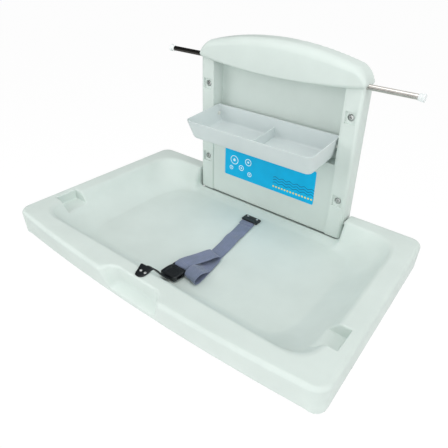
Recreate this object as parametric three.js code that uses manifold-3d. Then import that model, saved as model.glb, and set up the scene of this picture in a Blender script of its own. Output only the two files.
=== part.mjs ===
// Wall-mounted fold-down baby changing station, shown open.
// Millimetres, +Z up. The wall is the plane Y = 0, the user stands on the -Y side,
// and Z = 0 is the gap between the wall unit and the changing surface.

import * as THREE from "three";
import { mergeVertices } from "three/addons/utils/BufferGeometryUtils.js";
import Module from "manifold-3d";

const wasm = await Module();
wasm.setup();

// Wall unit
const UNIT_WIDTH = 466;
const UNIT_DEPTH = 44;
const UNIT_BOTTOM = -38;
const UNIT_EDGE_RADIUS = 8;
const UNIT_SKIN = 4;
const COLUMN_WIDTH = 43;
const RECESS_BOTTOM = 198;
const APRON_SET_BACK = 3;
const HOOD_BOTTOM = 381;
const SEAT_GAP = 0.3;
const TOUCH_GAP = 0.1;
const JOIN = 1;

// Hood on top of the columns
const HOOD_HALF_WIDTH = 237;
const HOOD_DEPTH = 56;
const HOOD_BULGE = 8;
const HOOD_CREST = 468;
const HOOD_SHOULDER_X = 196;
const HOOD_SHOULDER_Z = 443;
const HOOD_END_Z = 404;
const HOOD_EDGE_RADIUS = 10;
const HOOD_SKIN = 4;

// Hanger bar
const BAR_RADIUS = 6.5;
const BAR_HALF_LENGTH = 354;
const BAR_Y = -31;
const BAR_Z = 397.5;
const BAR_CLEARANCE = 0.3;
const CAP_RADIUS = 9.5;
const CAP_LENGTH = 14;

// Wall bolts
const BOLT_INSET = 23;
const BOLT_LOW_Z = 105.5;
const BOLT_HIGH_Z = 323.5;
const BOLT_RADIUS = 4;
const BOLT_HEAD_RADIUS = 6.5;
const BOLT_HEAD_HEIGHT = 5;
const BOLT_BORE_RADIUS = 4.4;
const WASHER_RADIUS = 8.4;
const WASHER_THICKNESS = 1.6;
const BOLT_SEAT_DEPTH = 11;
const COUNTERBORE_RADIUS = 9;
const BOLT_BOSS_RADIUS = 14;
const SQUARE_WIDTH = 26;
const SQUARE_HEIGHT = 30;
const SQUARE_DEPTH = 4.5;

// Pad on the back of the apron that bears on the wall
const PAD_HALF_WIDTH = 60;
const PAD_HALF_HEIGHT = 10;

// Label on the apron
const LABEL_HALF_WIDTH = 145;
const LABEL_BOTTOM = 69;
const LABEL_TOP = 165;
const LABEL_THICKNESS = 0.6;
const LABEL_CORNER = 4;

// Bed
const BED_WIDTH = 870;
const BED_REAR = -4;
const BED_FRONT = -528;
const BED_FRONT_BOW = 24;
const BED_INNER_BOW = 3;
const BED_TAPER = 15;
const BED_CORNER = 28;
const BED_INNER_CORNER = 52;
const RIM_TOP = 59;
const RIM_OUTER_RADIUS = 9;
const RIM_INNER_RADIUS = 12;
const RIM_FLAT_END = 36;
const RIM_SIDE_EXTRA = 10;
const RIM_REAR_EXTRA = 6;
const SKIRT_BOTTOM = -5;
const SKIRT_DRAFT = 7;
const WALL_SLOPE = THREE.MathUtils.degToRad(52);
const FLOOR_TOP = -6;
const FLOOR_FILLET = 26;
const BED_SKIN = 5;
const CORE_CLEAR = 0.2;
const CORE_STEP = 33;
const DEEP = 80;

// Notch in the bed for the wall unit, and the level sill in front of it
const NOTCH_SIDE_GAP = 8;
const NOTCH_FRONT_GAP = 2.5;
const NOTCH_CHEEK = 7;
const SILL_DEPTH = 32;
const SILL_RISE = 6;
const REAR_OPENING = 110;

// Grip scoop in the front edge
const SCOOP_HALF_WIDTH = 80;
const SCOOP_DEPTH = 28;
const SCOOP_LEDGE_Z = 12;
const SCOOP_CORNER = 30;
const SCOOP_FLARE = THREE.MathUtils.degToRad(17);

// Pockets in the side rims
const POCKET_INSET = 124;
const POCKET_HALF_LENGTH = 30;
const POCKET_DEPTH = 25;
const POCKET_FLOOR_Z = 34.5;

// Underside panel of the bed
const PANEL_INSET = 8.5;
const PANEL_FLANGE_END = 36;
const PANEL_FLANGE = 3.5;
const PANEL_SKIN = 4;
const PANEL_DROP = 29;
const PANEL_SLOPE_END = 110;
const SCREW_INSET = 19;
const SCREW_BOSS_RADIUS = 8;
const SCREW_BOSS_TOP = 22;
const SCREW_RADIUS = 1.9;
const SCREW_HEAD_RADIUS = 3.8;
const SCREW_HEAD_HEIGHT = 2;
const SCREW_TOP = 13;
const SCREW_CLEARANCE = 0.25;

// Bed hinge
const HINGE_Y = -30;
const HINGE_Z = 45;
const PIN_RADIUS = 5;
const PIN_HEAD_RADIUS = 6.5;
const PIN_HEAD_LENGTH = 3;
const PIN_TAIL = 12;
const RUNNING_GAP = 0.05;
const BUSH_RADIUS = 7.5;
const BUSH_FLANGE_RADIUS = 8.7;
const BUSH_FLANGE = 2;

// Tray, in its own axes: the pivot is the origin and the rim is level
const TRAY_PIVOT_Y = -32;
const TRAY_PIVOT_Z = 243;
const TRAY_TILT = THREE.MathUtils.degToRad(4);
const TRAY_SIDE_GAP = 4;
const TRAY_RIM = 24;
const TRAY_BASE = -31;
const TRAY_REAR = 11;
const TRAY_FRONT = -133.5;
const TRAY_FRONT_LEAN = 17;
const TRAY_END_DRAFT = 8;
const TRAY_CORNER = 15;
const TRAY_REAR_CORNER = 5;
const TRAY_WALL = 2.6;
const TRAY_BASE_FILLET = 7;
const TRAY_DIVIDER_RISE = 30;
const TRAY_PIN_RADIUS = 3.5;
const TRAY_PIN_HEAD_RADIUS = 5;
const TRAY_PIN_HEAD = 2.6;
const TRAY_PIN_SEAT = 7;

// Strap and its hardware
const STRAP_WIDTH = 38;
const STRAP_THICKNESS = 1.6;
const STRAP_DRIFT = 46;
const LOOP_REACH = 24;
const LOOP_LENGTH = 65;
const LOOP_HEIGHT = 20;
const CREST_HEIGHT = 20;
const CREST_SETBACK = 25;
const BAR_LIFT = 8;
const ANCHOR_Y = -106;
const ANCHOR_HALF_WIDTH = 25;
const ANCHOR_HALF_DEPTH = 12;
const ANCHOR_HEIGHT = 5;
const ANCHOR_SLOT_HALF = 20.5;
const ANCHOR_SLOT_FRONT = 8;
const ANCHOR_SLOT_REAR = 2;
const ANCHOR_SCREW_X = 15;
const ANCHOR_SCREW_Y = 5.5;
const SMALL_SCREW_RADIUS = 1.6;
const SMALL_HEAD_RADIUS = 3.2;
const SMALL_HEAD_HEIGHT = 1.6;
const SMALL_SCREW_DEPTH = 4;
const BUCKLE_INSET = 112;
const BUCKLE_Z = 4.5;
const BUCKLE_PITCH = THREE.MathUtils.degToRad(4);
const BUCKLE_HALF_WIDTH = 23;
const BUCKLE_HALF_HEIGHT = 6;
const SOCKET_HALF_LENGTH = 19;
const SOCKET_WALL = 5;
const SOCKET_CAVITY_HALF_HEIGHT = 3.6;
const SOCKET_WINDOW_REAR = 6;
const SOCKET_WINDOW_FRONT = -9;
const PLUG_HALF_HEIGHT = 4.5;
const PLUG_LENGTH = 18;
const PLUG_SLOT_START = 6;
const PLUG_SLOT_LENGTH = 7;
const TONGUE_HALF_WIDTH = 5;
const TONGUE_LENGTH = 26;
const TONGUE_HALF_HEIGHT = 2.4;
const PRONG_INNER = 11;
const PRONG_OUTER = 15.5;
const PRONG_HEAD_OUTER = 17.6;
const PRONG_LENGTH = 27;
const PRONG_HEAD = 12;
const PRONG_HALF_HEIGHT = 3;
const TAB_NECK_WIDTH = 10;
const TAB_WIDTH = 26;
const TAB_THICKNESS = 2.2;
const TAB_LIFT = 1.5;
const TAB_SCREW_X = 6.3;
const TAB_SCREW_INSET = 25;

// Facets
const CORNER_STEPS = 5;
const FRONT_STEPS = 8;
const FILLET_STEPS = 4;
const ROUND = 14;
const RUNNING_ROUND = 28;
const STRAP_STEPS = 56;
const TAB_STEPS = 18;

const BODY_COLOUR = 0xd2dcd6;
const looks = {
  body: { color: BODY_COLOUR, roughness: 0.55, metalness: 0 },
  tray: { color: 0xccd6d1, roughness: 0.5, metalness: 0 },
  steel: { color: 0xcfd2d3, roughness: 0.22, metalness: 1 },
  zinc: { color: 0xb9bdbe, roughness: 0.4, metalness: 1 },
  cap: { color: 0xe4eae8, roughness: 0.45, metalness: 0 },
  nylon: { color: 0xd8d6cc, roughness: 0.6, metalness: 0 },
  label: { color: 0x00b4e6, roughness: 0.35, metalness: 0 },
  black: { color: 0x24282c, roughness: 0.38, metalness: 0 },
  webbing: { color: 0x76809b, roughness: 0.9, metalness: 0 },
};

const SIDES = [-1, 1];
const unitHalf = UNIT_WIDTH / 2;
const columnInner = unitHalf - COLUMN_WIDTH;
const columnTop = HOOD_BOTTOM - SEAT_GAP;
const trayHalfWidth = columnInner - TRAY_SIDE_GAP;
const boltX = unitHalf - BOLT_INSET;
const apronFace = -(UNIT_DEPTH - APRON_SET_BACK);
const notchHalf = unitHalf + NOTCH_SIDE_GAP;
const notchFront = -UNIT_DEPTH - NOTCH_FRONT_GAP;
const bedHalf = BED_WIDTH / 2;
const buckleY = BED_FRONT + BUCKLE_INSET;
const tabScrewY = BED_FRONT + TAB_SCREW_INSET;
const sideName = (side) => (side < 0 ? "left" : "right");

// Solids from three.js geometry

function solid(geometry) {
  const bare = geometry.clone();
  bare.deleteAttribute("normal");
  bare.deleteAttribute("uv");
  const merged = mergeVertices(bare, 1e-4);
  const mesh = new wasm.Mesh({
    numProp: 3,
    vertProperties: new Float32Array(merged.attributes.position.array),
    triVerts: new Uint32Array(merged.index.array),
  });
  mesh.merge();
  return new wasm.Manifold(mesh);
}

function fuse(solids) {
  return solids.reduce((sum, item) => sum.add(item));
}

function cut(base, tools) {
  return tools.reduce((rest, tool) => rest.subtract(tool), base);
}

function piece(name, shape, look) {
  const data = shape.getMesh();
  const geometry = new THREE.BufferGeometry();
  geometry.setAttribute("position", new THREE.BufferAttribute(data.vertProperties, 3));
  geometry.setIndex(new THREE.BufferAttribute(data.triVerts, 1));
  geometry.computeVertexNormals();
  const mesh = new THREE.Mesh(geometry, new THREE.MeshStandardMaterial(look));
  mesh.name = name;
  return mesh;
}

function box(xLow, xHigh, yLow, yHigh, zLow, zHigh) {
  const geometry = new THREE.BoxGeometry(xHigh - xLow, yHigh - yLow, zHigh - zLow);
  geometry.translate((xLow + xHigh) / 2, (yLow + yHigh) / 2, (zLow + zHigh) / 2);
  return solid(geometry);
}

function sideBox(side, xLow, xHigh, yLow, yHigh, zLow, zHigh) {
  const ends = [side * xLow, side * xHigh].sort((a, b) => a - b);
  return box(ends[0], ends[1], yLow, yHigh, zLow, zHigh);
}

function rodX(radius, xFrom, xTo, y, z, facets = ROUND) {
  const geometry = new THREE.CylinderGeometry(radius, radius, Math.abs(xTo - xFrom), facets);
  geometry.rotateZ(Math.PI / 2);
  geometry.translate((xFrom + xTo) / 2, y, z);
  return solid(geometry);
}

function rodY(radius, yFrom, yTo, x, z, facets = ROUND) {
  const geometry = new THREE.CylinderGeometry(radius, radius, Math.abs(yTo - yFrom), facets);
  geometry.translate(x, (yFrom + yTo) / 2, z);
  return solid(geometry);
}

function rodZ(radius, zFrom, zTo, x, y, facets = ROUND) {
  const geometry = new THREE.CylinderGeometry(radius, radius, Math.abs(zTo - zFrom), facets);
  geometry.rotateX(Math.PI / 2);
  geometry.translate(x, y, (zFrom + zTo) / 2);
  return solid(geometry);
}

function prism(corners, depth) {
  const shape = new THREE.Shape(corners.map(([u, v]) => new THREE.Vector2(u, v)));
  return new THREE.ExtrudeGeometry(shape, { depth, bevelEnabled: false });
}

// A profile of (y, z) corners run along X
function prismX(corners, xLow, xHigh) {
  const geometry = prism(corners, xHigh - xLow);
  const yAxis = new THREE.Vector3(0, 1, 0);
  const zAxis = new THREE.Vector3(0, 0, 1);
  const xAxis = new THREE.Vector3(1, 0, 0);
  geometry.applyMatrix4(new THREE.Matrix4().makeBasis(yAxis, zAxis, xAxis));
  geometry.translate(xLow, 0, 0);
  return solid(geometry);
}

// A profile of (x, y) corners run along Z
function prismZ(corners, zLow, zHigh) {
  const geometry = prism(corners, zHigh - zLow);
  geometry.translate(0, 0, zLow);
  return solid(geometry);
}

// A profile of (x, z) corners run from yHigh towards the front
function prismY(corners, yLow, yHigh) {
  const geometry = prism(corners, yHigh - yLow);
  geometry.rotateX(Math.PI / 2);
  geometry.translate(0, yHigh, 0);
  return solid(geometry);
}

// Rings of equal point count, skinned in order and closed at both ends
function loft(rings) {
  const count = rings[0].length;
  const points = rings.flat();
  const faces = [];
  for (let ring = 0; ring < rings.length - 1; ring += 1) {
    for (let i = 0; i < count; i += 1) {
      const next = (i + 1) % count;
      const low = ring * count;
      const high = low + count;
      faces.push(low + i, low + next, high + i);
      faces.push(low + next, high + next, high + i);
    }
  }
  const centre = (ring) => ring.reduce((sum, p) => sum.add(p), new THREE.Vector3()).divideScalar(count);
  const last = (rings.length - 1) * count;
  const startCentre = points.length;
  const endCentre = startCentre + 1;
  points.push(centre(rings[0]), centre(rings[rings.length - 1]));
  for (let i = 0; i < count; i += 1) {
    const next = (i + 1) % count;
    faces.push(startCentre, next, i);
    faces.push(endCentre, last + i, last + next);
  }
  const geometry = new THREE.BufferGeometry();
  geometry.setAttribute("position", new THREE.Float32BufferAttribute(points.flatMap((p) => p.toArray()), 3));
  geometry.setIndex(faces);
  return solid(geometry);
}

function arc(centreU, centreV, radius, fromDeg, toDeg, steps) {
  const points = [];
  for (let i = 0; i <= steps; i += 1) {
    const angle = THREE.MathUtils.degToRad(fromDeg + ((toDeg - fromDeg) * i) / steps);
    points.push([centreU + radius * Math.cos(angle), centreV + radius * Math.sin(angle)]);
  }
  return points;
}

// Rounded rectangle in plan, its front edge bowed outwards
function plan({ half, rear, front, rearRadius, frontRadius, bow, z }) {
  const flat = [
    ...arc(half - rearRadius, rear - rearRadius, rearRadius, 0, 90, CORNER_STEPS),
    ...arc(-half + rearRadius, rear - rearRadius, rearRadius, 90, 180, CORNER_STEPS),
    ...arc(-half + frontRadius, front + frontRadius, frontRadius, 180, 270, CORNER_STEPS),
  ];
  const span = 2 * (half - frontRadius);
  for (let i = 1; i < FRONT_STEPS; i += 1) {
    flat.push([-half + frontRadius + (span * i) / FRONT_STEPS, front]);
  }
  flat.push(...arc(half - frontRadius, front + frontRadius, frontRadius, 270, 360, CORNER_STEPS));
  const middle = (rear + front) / 2;
  return flat.map(([x, y]) => {
    const lift = y < middle ? bow * (1 - (x / half) ** 2) : 0;
    return new THREE.Vector3(x, y - lift, z);
  });
}

// Wall unit: an open-backed moulding, its columns joined by the recess panel and the apron

function unitPlan(half, depth, radius) {
  return [
    [half, 0],
    ...arc(half - radius, -depth + radius, radius, 0, -90, FILLET_STEPS),
    ...arc(-half + radius, -depth + radius, radius, -90, -180, FILLET_STEPS),
    [-half, 0],
  ];
}

function boltPlaces() {
  return SIDES.flatMap((side) => [BOLT_LOW_Z, BOLT_HIGH_Z].map((z) => [side * boltX, z]));
}

function makeBackShell() {
  const front = -UNIT_DEPTH;
  const outer = prismZ(unitPlan(unitHalf, UNIT_DEPTH, UNIT_EDGE_RADIUS), UNIT_BOTTOM, columnTop);
  const recess = box(-columnInner, columnInner, front * 2, -UNIT_SKIN, RECESS_BOTTOM, columnTop + DEEP);
  const apron = box(-columnInner, columnInner, front * 2, apronFace, UNIT_BOTTOM - DEEP, RECESS_BOTTOM + 1);
  const innerBottom = UNIT_BOTTOM + UNIT_SKIN;
  const innerTop = columnTop - UNIT_SKIN;
  const lowerCore = box(
    -unitHalf + UNIT_SKIN,
    unitHalf - UNIT_SKIN,
    apronFace + UNIT_SKIN,
    DEEP,
    innerBottom,
    RECESS_BOTTOM - UNIT_SKIN,
  );
  const columnCores = SIDES.map((side) =>
    sideBox(
      side,
      columnInner + UNIT_SKIN,
      unitHalf - UNIT_SKIN,
      apronFace + UNIT_SKIN,
      DEEP,
      innerBottom,
      innerTop,
    ),
  );
  const boltBosses = boltPlaces().map(([x, z]) => rodY(BOLT_BOSS_RADIUS, front, 0, x, z));
  const hingeBosses = SIDES.map((side) =>
    rodX(
      PIN_HEAD_RADIUS + 2,
      side * (unitHalf - UNIT_SKIN - PIN_TAIL + SEAT_GAP),
      side * unitHalf,
      HINGE_Y,
      HINGE_Z,
    ),
  );
  const wallPad = box(-PAD_HALF_WIDTH, PAD_HALF_WIDTH, front, 0, -PAD_HALF_HEIGHT, PAD_HALF_HEIGHT);
  const core = cut(fuse([lowerCore, ...columnCores]), [wallPad, ...boltBosses, ...hingeBosses]);
  const squares = boltPlaces().map(([x, z]) =>
    box(
      x - SQUARE_WIDTH / 2,
      x + SQUARE_WIDTH / 2,
      front * 2,
      front + SQUARE_DEPTH,
      z - SQUARE_HEIGHT / 2,
      z + SQUARE_HEIGHT / 2,
    ),
  );
  const seats = boltPlaces().map(([x, z]) =>
    rodY(COUNTERBORE_RADIUS, front * 2, front + BOLT_SEAT_DEPTH, x, z),
  );
  const bores = boltPlaces().map(([x, z]) => rodY(BOLT_BORE_RADIUS, front * 2, DEEP, x, z));
  const hingeHoles = SIDES.map((side) =>
    rodX(PIN_RADIUS + SEAT_GAP, side * columnInner, side * (unitHalf + DEEP), HINGE_Y, HINGE_Z),
  );
  const trayHoles = SIDES.map((side) =>
    rodX(
      TRAY_PIN_RADIUS + SEAT_GAP,
      side * (columnInner - 1),
      side * (columnInner + COLUMN_WIDTH / 2),
      TRAY_PIVOT_Y,
      TRAY_PIVOT_Z,
    ),
  );
  return cut(outer, [recess, apron, core, ...squares, ...seats, ...bores, ...hingeHoles, ...trayHoles]);
}

// Hood: arched front elevation with a rounded front edge, open at the back

function hoodOutline() {
  const rise = HOOD_CREST - HOOD_SHOULDER_Z;
  const archRadius = (HOOD_SHOULDER_X ** 2 + rise ** 2) / (2 * rise);
  const halfAngle = THREE.MathUtils.radToDeg(Math.asin(HOOD_SHOULDER_X / archRadius));
  const arch = arc(0, HOOD_CREST - archRadius, archRadius, 90 - halfAngle, 90 + halfAngle, FRONT_STEPS);
  const shoulder = new THREE.QuadraticBezierCurve(
    new THREE.Vector2(HOOD_HALF_WIDTH, HOOD_END_Z),
    new THREE.Vector2(HOOD_HALF_WIDTH, HOOD_SHOULDER_Z - rise / 3),
    new THREE.Vector2(HOOD_SHOULDER_X, HOOD_SHOULDER_Z),
  );
  const right = shoulder.getPoints(CORNER_STEPS).slice(0, -1).map((p) => [p.x, p.y]);
  const left = right.map(([x, z]) => [-x, z]).reverse();
  const foot = HOOD_EDGE_RADIUS;
  return [
    ...arc(HOOD_HALF_WIDTH - foot, HOOD_BOTTOM + foot, foot, -90, 0, FILLET_STEPS),
    ...right,
    ...arch,
    ...left,
    ...arc(-HOOD_HALF_WIDTH + foot, HOOD_BOTTOM + foot, foot, 180, 270, FILLET_STEPS),
  ];
}

// The outline moved inwards along its own normals, in the plane at depth y
function insetRing(outline, inset, y) {
  const count = outline.length;
  return outline.map(([x, z], i) => {
    const before = outline[(i + count - 1) % count];
    const after = outline[(i + 1) % count];
    const along = new THREE.Vector2(after[0] - before[0], after[1] - before[1]).normalize();
    const flatter = y < 0 ? (HOOD_BULGE * y * (x / HOOD_HALF_WIDTH) ** 2) / HOOD_DEPTH : 0;
    return new THREE.Vector3(x - along.y * inset, y - flatter, z + along.x * inset);
  });
}

function hoodBody(inset, back, front) {
  const outline = hoodOutline();
  const radius = HOOD_EDGE_RADIUS;
  const edge = arc(radius, front + radius, radius, 180, 270, FILLET_STEPS);
  return loft([
    insetRing(outline, inset, back),
    ...edge.map(([inward, y]) => insetRing(outline, inset + inward, y)),
  ]);
}

function makeHood() {
  const outer = hoodBody(0, 0, -HOOD_DEPTH);
  const core = hoodBody(HOOD_SKIN, DEEP, -HOOD_DEPTH + HOOD_SKIN);
  const barHole = rodX(BAR_RADIUS + BAR_CLEARANCE, -bedHalf, bedHalf, BAR_Y, BAR_Z);
  return cut(outer, [core, barHole]);
}

function makeBarCap(side) {
  const inner = side * (BAR_HALF_LENGTH - CAP_LENGTH + 3);
  const outer = side * (BAR_HALF_LENGTH + 3);
  const lip = side * (BAR_HALF_LENGTH - 1);
  const sleeve = rodX(BAR_RADIUS + 1.6, inner, outer, BAR_Y, BAR_Z);
  const flange = rodX(CAP_RADIUS, lip, outer, BAR_Y, BAR_Z);
  const holeEnd = BAR_HALF_LENGTH + 0.1;
  const hole = rodX(BAR_RADIUS + 0.1, (side * BAR_HALF_LENGTH) / 2, side * holeEnd, BAR_Y, BAR_Z);
  return sleeve.add(flange).subtract(hole);
}

function makeBolt([x, z]) {
  const seat = -UNIT_DEPTH + BOLT_SEAT_DEPTH - SEAT_GAP - WASHER_THICKNESS - TOUCH_GAP;
  const head = rodY(BOLT_HEAD_RADIUS, seat - BOLT_HEAD_HEIGHT, seat, x, z);
  return head.add(rodY(BOLT_RADIUS, seat - JOIN, 0, x, z));
}

function makeWasher([x, z]) {
  const back = -UNIT_DEPTH + BOLT_SEAT_DEPTH - SEAT_GAP;
  const disc = rodY(WASHER_RADIUS, back - WASHER_THICKNESS, back, x, z);
  return disc.subtract(rodY(BOLT_BORE_RADIUS, -DEEP, 0, x, z));
}

function makeLabel() {
  const corner = LABEL_CORNER;
  const outline = [
    ...arc(LABEL_HALF_WIDTH - corner, LABEL_TOP - corner, corner, 0, 90, FILLET_STEPS),
    ...arc(-LABEL_HALF_WIDTH + corner, LABEL_TOP - corner, corner, 90, 180, FILLET_STEPS),
    ...arc(-LABEL_HALF_WIDTH + corner, LABEL_BOTTOM + corner, corner, 180, 270, FILLET_STEPS),
    ...arc(LABEL_HALF_WIDTH - corner, LABEL_BOTTOM + corner, corner, 270, 360, FILLET_STEPS),
  ];
  const back = apronFace - 0.05;
  return prismY(outline, back - LABEL_THICKNESS, back);
}

function makeHingePin(side) {
  const head = unitHalf - UNIT_SKIN - PIN_TAIL;
  const tail = notchHalf + NOTCH_CHEEK + BUSH_FLANGE + JOIN;
  const shank = rodX(PIN_RADIUS, side * (head - JOIN), side * tail, HINGE_Y, HINGE_Z, RUNNING_ROUND);
  const cap = rodX(PIN_HEAD_RADIUS, side * (head - PIN_HEAD_LENGTH), side * head, HINGE_Y, HINGE_Z);
  return shank.add(cap);
}

// Bed: one moulded skin over the rim and bowl, hollow below

// Width of the bed at a distance from the wall, as a share of its width at the front
function sideShare(y) {
  return 1 - (BED_TAPER / bedHalf) * ((y - BED_FRONT) / (BED_REAR - BED_FRONT));
}

function ringOf({ inset, z }) {
  const inside = THREE.MathUtils.clamp(
    (inset - RIM_OUTER_RADIUS) / (RIM_FLAT_END - RIM_OUTER_RADIUS),
    0,
    1,
  );
  const outerCorner = BED_CORNER - Math.min(inset, RIM_OUTER_RADIUS);
  const innerCorner = Math.max(BED_INNER_CORNER - (inset - RIM_FLAT_END) * 0.4, RIM_INNER_RADIUS);
  const corner = THREE.MathUtils.lerp(outerCorner, innerCorner, inside);
  const ring = plan({
    half: bedHalf - inset - RIM_SIDE_EXTRA * inside,
    rear: BED_REAR - inset - RIM_REAR_EXTRA * inside,
    front: BED_FRONT + inset,
    rearRadius: corner,
    frontRadius: corner,
    bow: THREE.MathUtils.lerp(BED_FRONT_BOW, BED_INNER_BOW, inside),
    z,
  });
  return ring.map(({ x, y }) => point(x * sideShare(y), y, z));
}

// Section of the skin from the skirt foot over the rim to the floor, moved in by an offset
function skinProfile(offset) {
  const slopeDeg = THREE.MathUtils.radToDeg(WALL_SLOPE);
  const normal = Math.PI / 2 - WALL_SLOPE;
  const crownZ = RIM_TOP - RIM_INNER_RADIUS;
  const baseZ = FLOOR_TOP + FLOOR_FILLET;
  const drop =
    crownZ + RIM_INNER_RADIUS * Math.sin(normal) - (baseZ - FLOOR_FILLET * Math.sin(normal));
  const floorU =
    RIM_FLAT_END +
    (RIM_INNER_RADIUS + FLOOR_FILLET) * Math.cos(normal) +
    drop / Math.tan(WALL_SLOPE);
  const rimZ = RIM_TOP - RIM_OUTER_RADIUS;
  const upper = arc(RIM_OUTER_RADIUS, rimZ, RIM_OUTER_RADIUS - offset, 180, 90, FILLET_STEPS);
  const shoulder = arc(RIM_FLAT_END, crownZ, RIM_INNER_RADIUS - offset, 90, 90 - slopeDeg, FILLET_STEPS);
  const base = arc(floorU, baseZ, FLOOR_FILLET + offset, 270 - slopeDeg, 270, FILLET_STEPS);
  const foot = [[SKIRT_DRAFT + offset, SKIRT_BOTTOM]];
  return [...foot, ...upper, ...shoulder, ...base].map(([inset, z]) => ({ inset, z }));
}

function bedEnvelope() {
  const start = [
    { inset: SKIRT_DRAFT + CORE_STEP, z: FLOOR_TOP - BED_SKIN - CORE_CLEAR },
    { inset: SKIRT_DRAFT + CORE_STEP - 1, z: SKIRT_BOTTOM },
  ];
  return loft([...start, ...skinProfile(0)].map(ringOf));
}

function bedHollow() {
  const start = [{ inset: SKIRT_DRAFT + BED_SKIN, z: SKIRT_BOTTOM - DEEP }];
  return loft([...start, ...skinProfile(BED_SKIN)].map(ringOf));
}

function frontEdgeY(x) {
  return BED_FRONT - BED_FRONT_BOW * (1 - (x / bedHalf) ** 2);
}

function panelScrewPlaces() {
  const frontX = bedHalf * 0.6;
  const rearX = (notchHalf + bedHalf) / 2;
  const atSide = (side, y) => [side * (bedHalf * sideShare(y) - SCREW_INSET), y];
  return SIDES.flatMap((side) => [
    atSide(side, BED_FRONT * 0.25),
    atSide(side, BED_FRONT * 0.8),
    [side * frontX, frontEdgeY(frontX) + SCREW_INSET],
    [side * rearX, BED_REAR - SCREW_INSET],
  ]);
}

function scoopSolid(grow) {
  const half = SCOOP_HALF_WIDTH + grow;
  const back = frontEdgeY(0) + SCOOP_DEPTH + grow;
  const corner = SCOOP_CORNER + grow;
  const flare = THREE.MathUtils.radToDeg(SCOOP_FLARE);
  const mouth = half - corner + corner / Math.cos(SCOOP_FLARE) + (DEEP - corner) * Math.tan(SCOOP_FLARE);
  const outline = [
    ...arc(half - corner, back - corner, corner, flare, 90, FILLET_STEPS),
    ...arc(-half + corner, back - corner, corner, 90, 180 - flare, FILLET_STEPS),
    [-mouth, back - DEEP],
    [mouth, back - DEEP],
  ];
  return prismZ(outline, SCOOP_LEDGE_Z - grow, RIM_TOP + DEEP);
}

function pocketSolid(side, grow) {
  const centreY = BED_FRONT + POCKET_INSET;
  const rimInner = bedHalf - RIM_FLAT_END - RIM_SIDE_EXTRA;
  return sideBox(
    side,
    rimInner - DEEP / 2,
    rimInner + POCKET_DEPTH + grow,
    centreY - POCKET_HALF_LENGTH - grow,
    centreY + POCKET_HALF_LENGTH + grow,
    POCKET_FLOOR_Z - grow,
    RIM_TOP + DEEP,
  );
}

function strapScrewPlaces() {
  const tab = SIDES.map((side) => [side * TAB_SCREW_X, tabScrewY, RIM_TOP]);
  const anchor = SIDES.map((side) => [side * ANCHOR_SCREW_X, ANCHOR_Y + ANCHOR_SCREW_Y, FLOOR_TOP]);
  return { tab, anchor };
}

function makeBedBody() {
  const rearEnd = notchFront - REAR_OPENING;
  const cheekHalf = notchHalf + NOTCH_CHEEK;
  const keep = [
    box(-cheekHalf, cheekHalf, rearEnd - BED_SKIN, DEEP, FLOOR_TOP - BED_SKIN, RIM_TOP),
    ...SIDES.map((side) => sideBox(side, notchHalf, cheekHalf, notchFront - BED_SKIN, DEEP, -DEEP, RIM_TOP)),
    box(-cheekHalf, cheekHalf, notchFront - BED_SKIN, notchFront, -DEEP, RIM_TOP),
    scoopSolid(BED_SKIN),
    ...SIDES.map((side) => pocketSolid(side, BED_SKIN)),
    ...panelScrewPlaces().map(([x, y]) => rodZ(SCREW_BOSS_RADIUS, -DEEP, SCREW_BOSS_TOP, x, y)),
  ];
  const shell = bedEnvelope().subtract(cut(bedHollow(), keep));
  const sill = prismX(
    [
      [notchFront - SILL_DEPTH, FLOOR_TOP - 1],
      [notchFront, FLOOR_TOP - 1],
      [notchFront, FLOOR_TOP + SILL_RISE],
      [notchFront - SILL_DEPTH, FLOOR_TOP],
    ],
    -notchHalf,
    notchHalf,
  );
  const places = strapScrewPlaces();
  const screwHoles = [...places.tab, ...places.anchor].map(([x, y, z]) =>
    rodZ(SMALL_SCREW_RADIUS + SCREW_CLEARANCE, z - SMALL_SCREW_DEPTH - 0.3, z + 1, x, y),
  );
  const opened = cut(shell, [
    box(-notchHalf, notchHalf, rearEnd, DEEP, FLOOR_TOP, DEEP * 2),
    scoopSolid(0),
    ...SIDES.map((side) => pocketSolid(side, 0)),
    ...panelScrewPlaces().map(([x, y]) => rodZ(SCREW_RADIUS + SCREW_CLEARANCE, -DEEP, SCREW_TOP + 1, x, y)),
  ]);
  const bushHoles = SIDES.map((side) =>
    rodX(
      BUSH_RADIUS + SCREW_CLEARANCE,
      side * unitHalf,
      side * (cheekHalf + 1),
      HINGE_Y,
      HINGE_Z,
      RUNNING_ROUND,
    ),
  );
  const notch = box(-notchHalf, notchHalf, notchFront, DEEP, -DEEP * 2, DEEP * 2);
  return cut(opened.add(sill), [notch, ...bushHoles, ...screwHoles]);
}

function makeBush(side) {
  const inner = notchHalf;
  const outer = notchHalf + NOTCH_CHEEK + SEAT_GAP;
  const sleeve = rodX(BUSH_RADIUS, side * inner, side * (outer + JOIN), HINGE_Y, HINGE_Z, RUNNING_ROUND);
  const end = outer + BUSH_FLANGE;
  const flange = rodX(BUSH_FLANGE_RADIUS, side * outer, side * end, HINGE_Y, HINGE_Z, RUNNING_ROUND);
  const boreRadius = PIN_RADIUS + RUNNING_GAP;
  const bore = rodX(boreRadius, side * unitHalf, side * bedHalf, HINGE_Y, HINGE_Z, RUNNING_ROUND);
  return sleeve.add(flange).subtract(bore);
}

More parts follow.
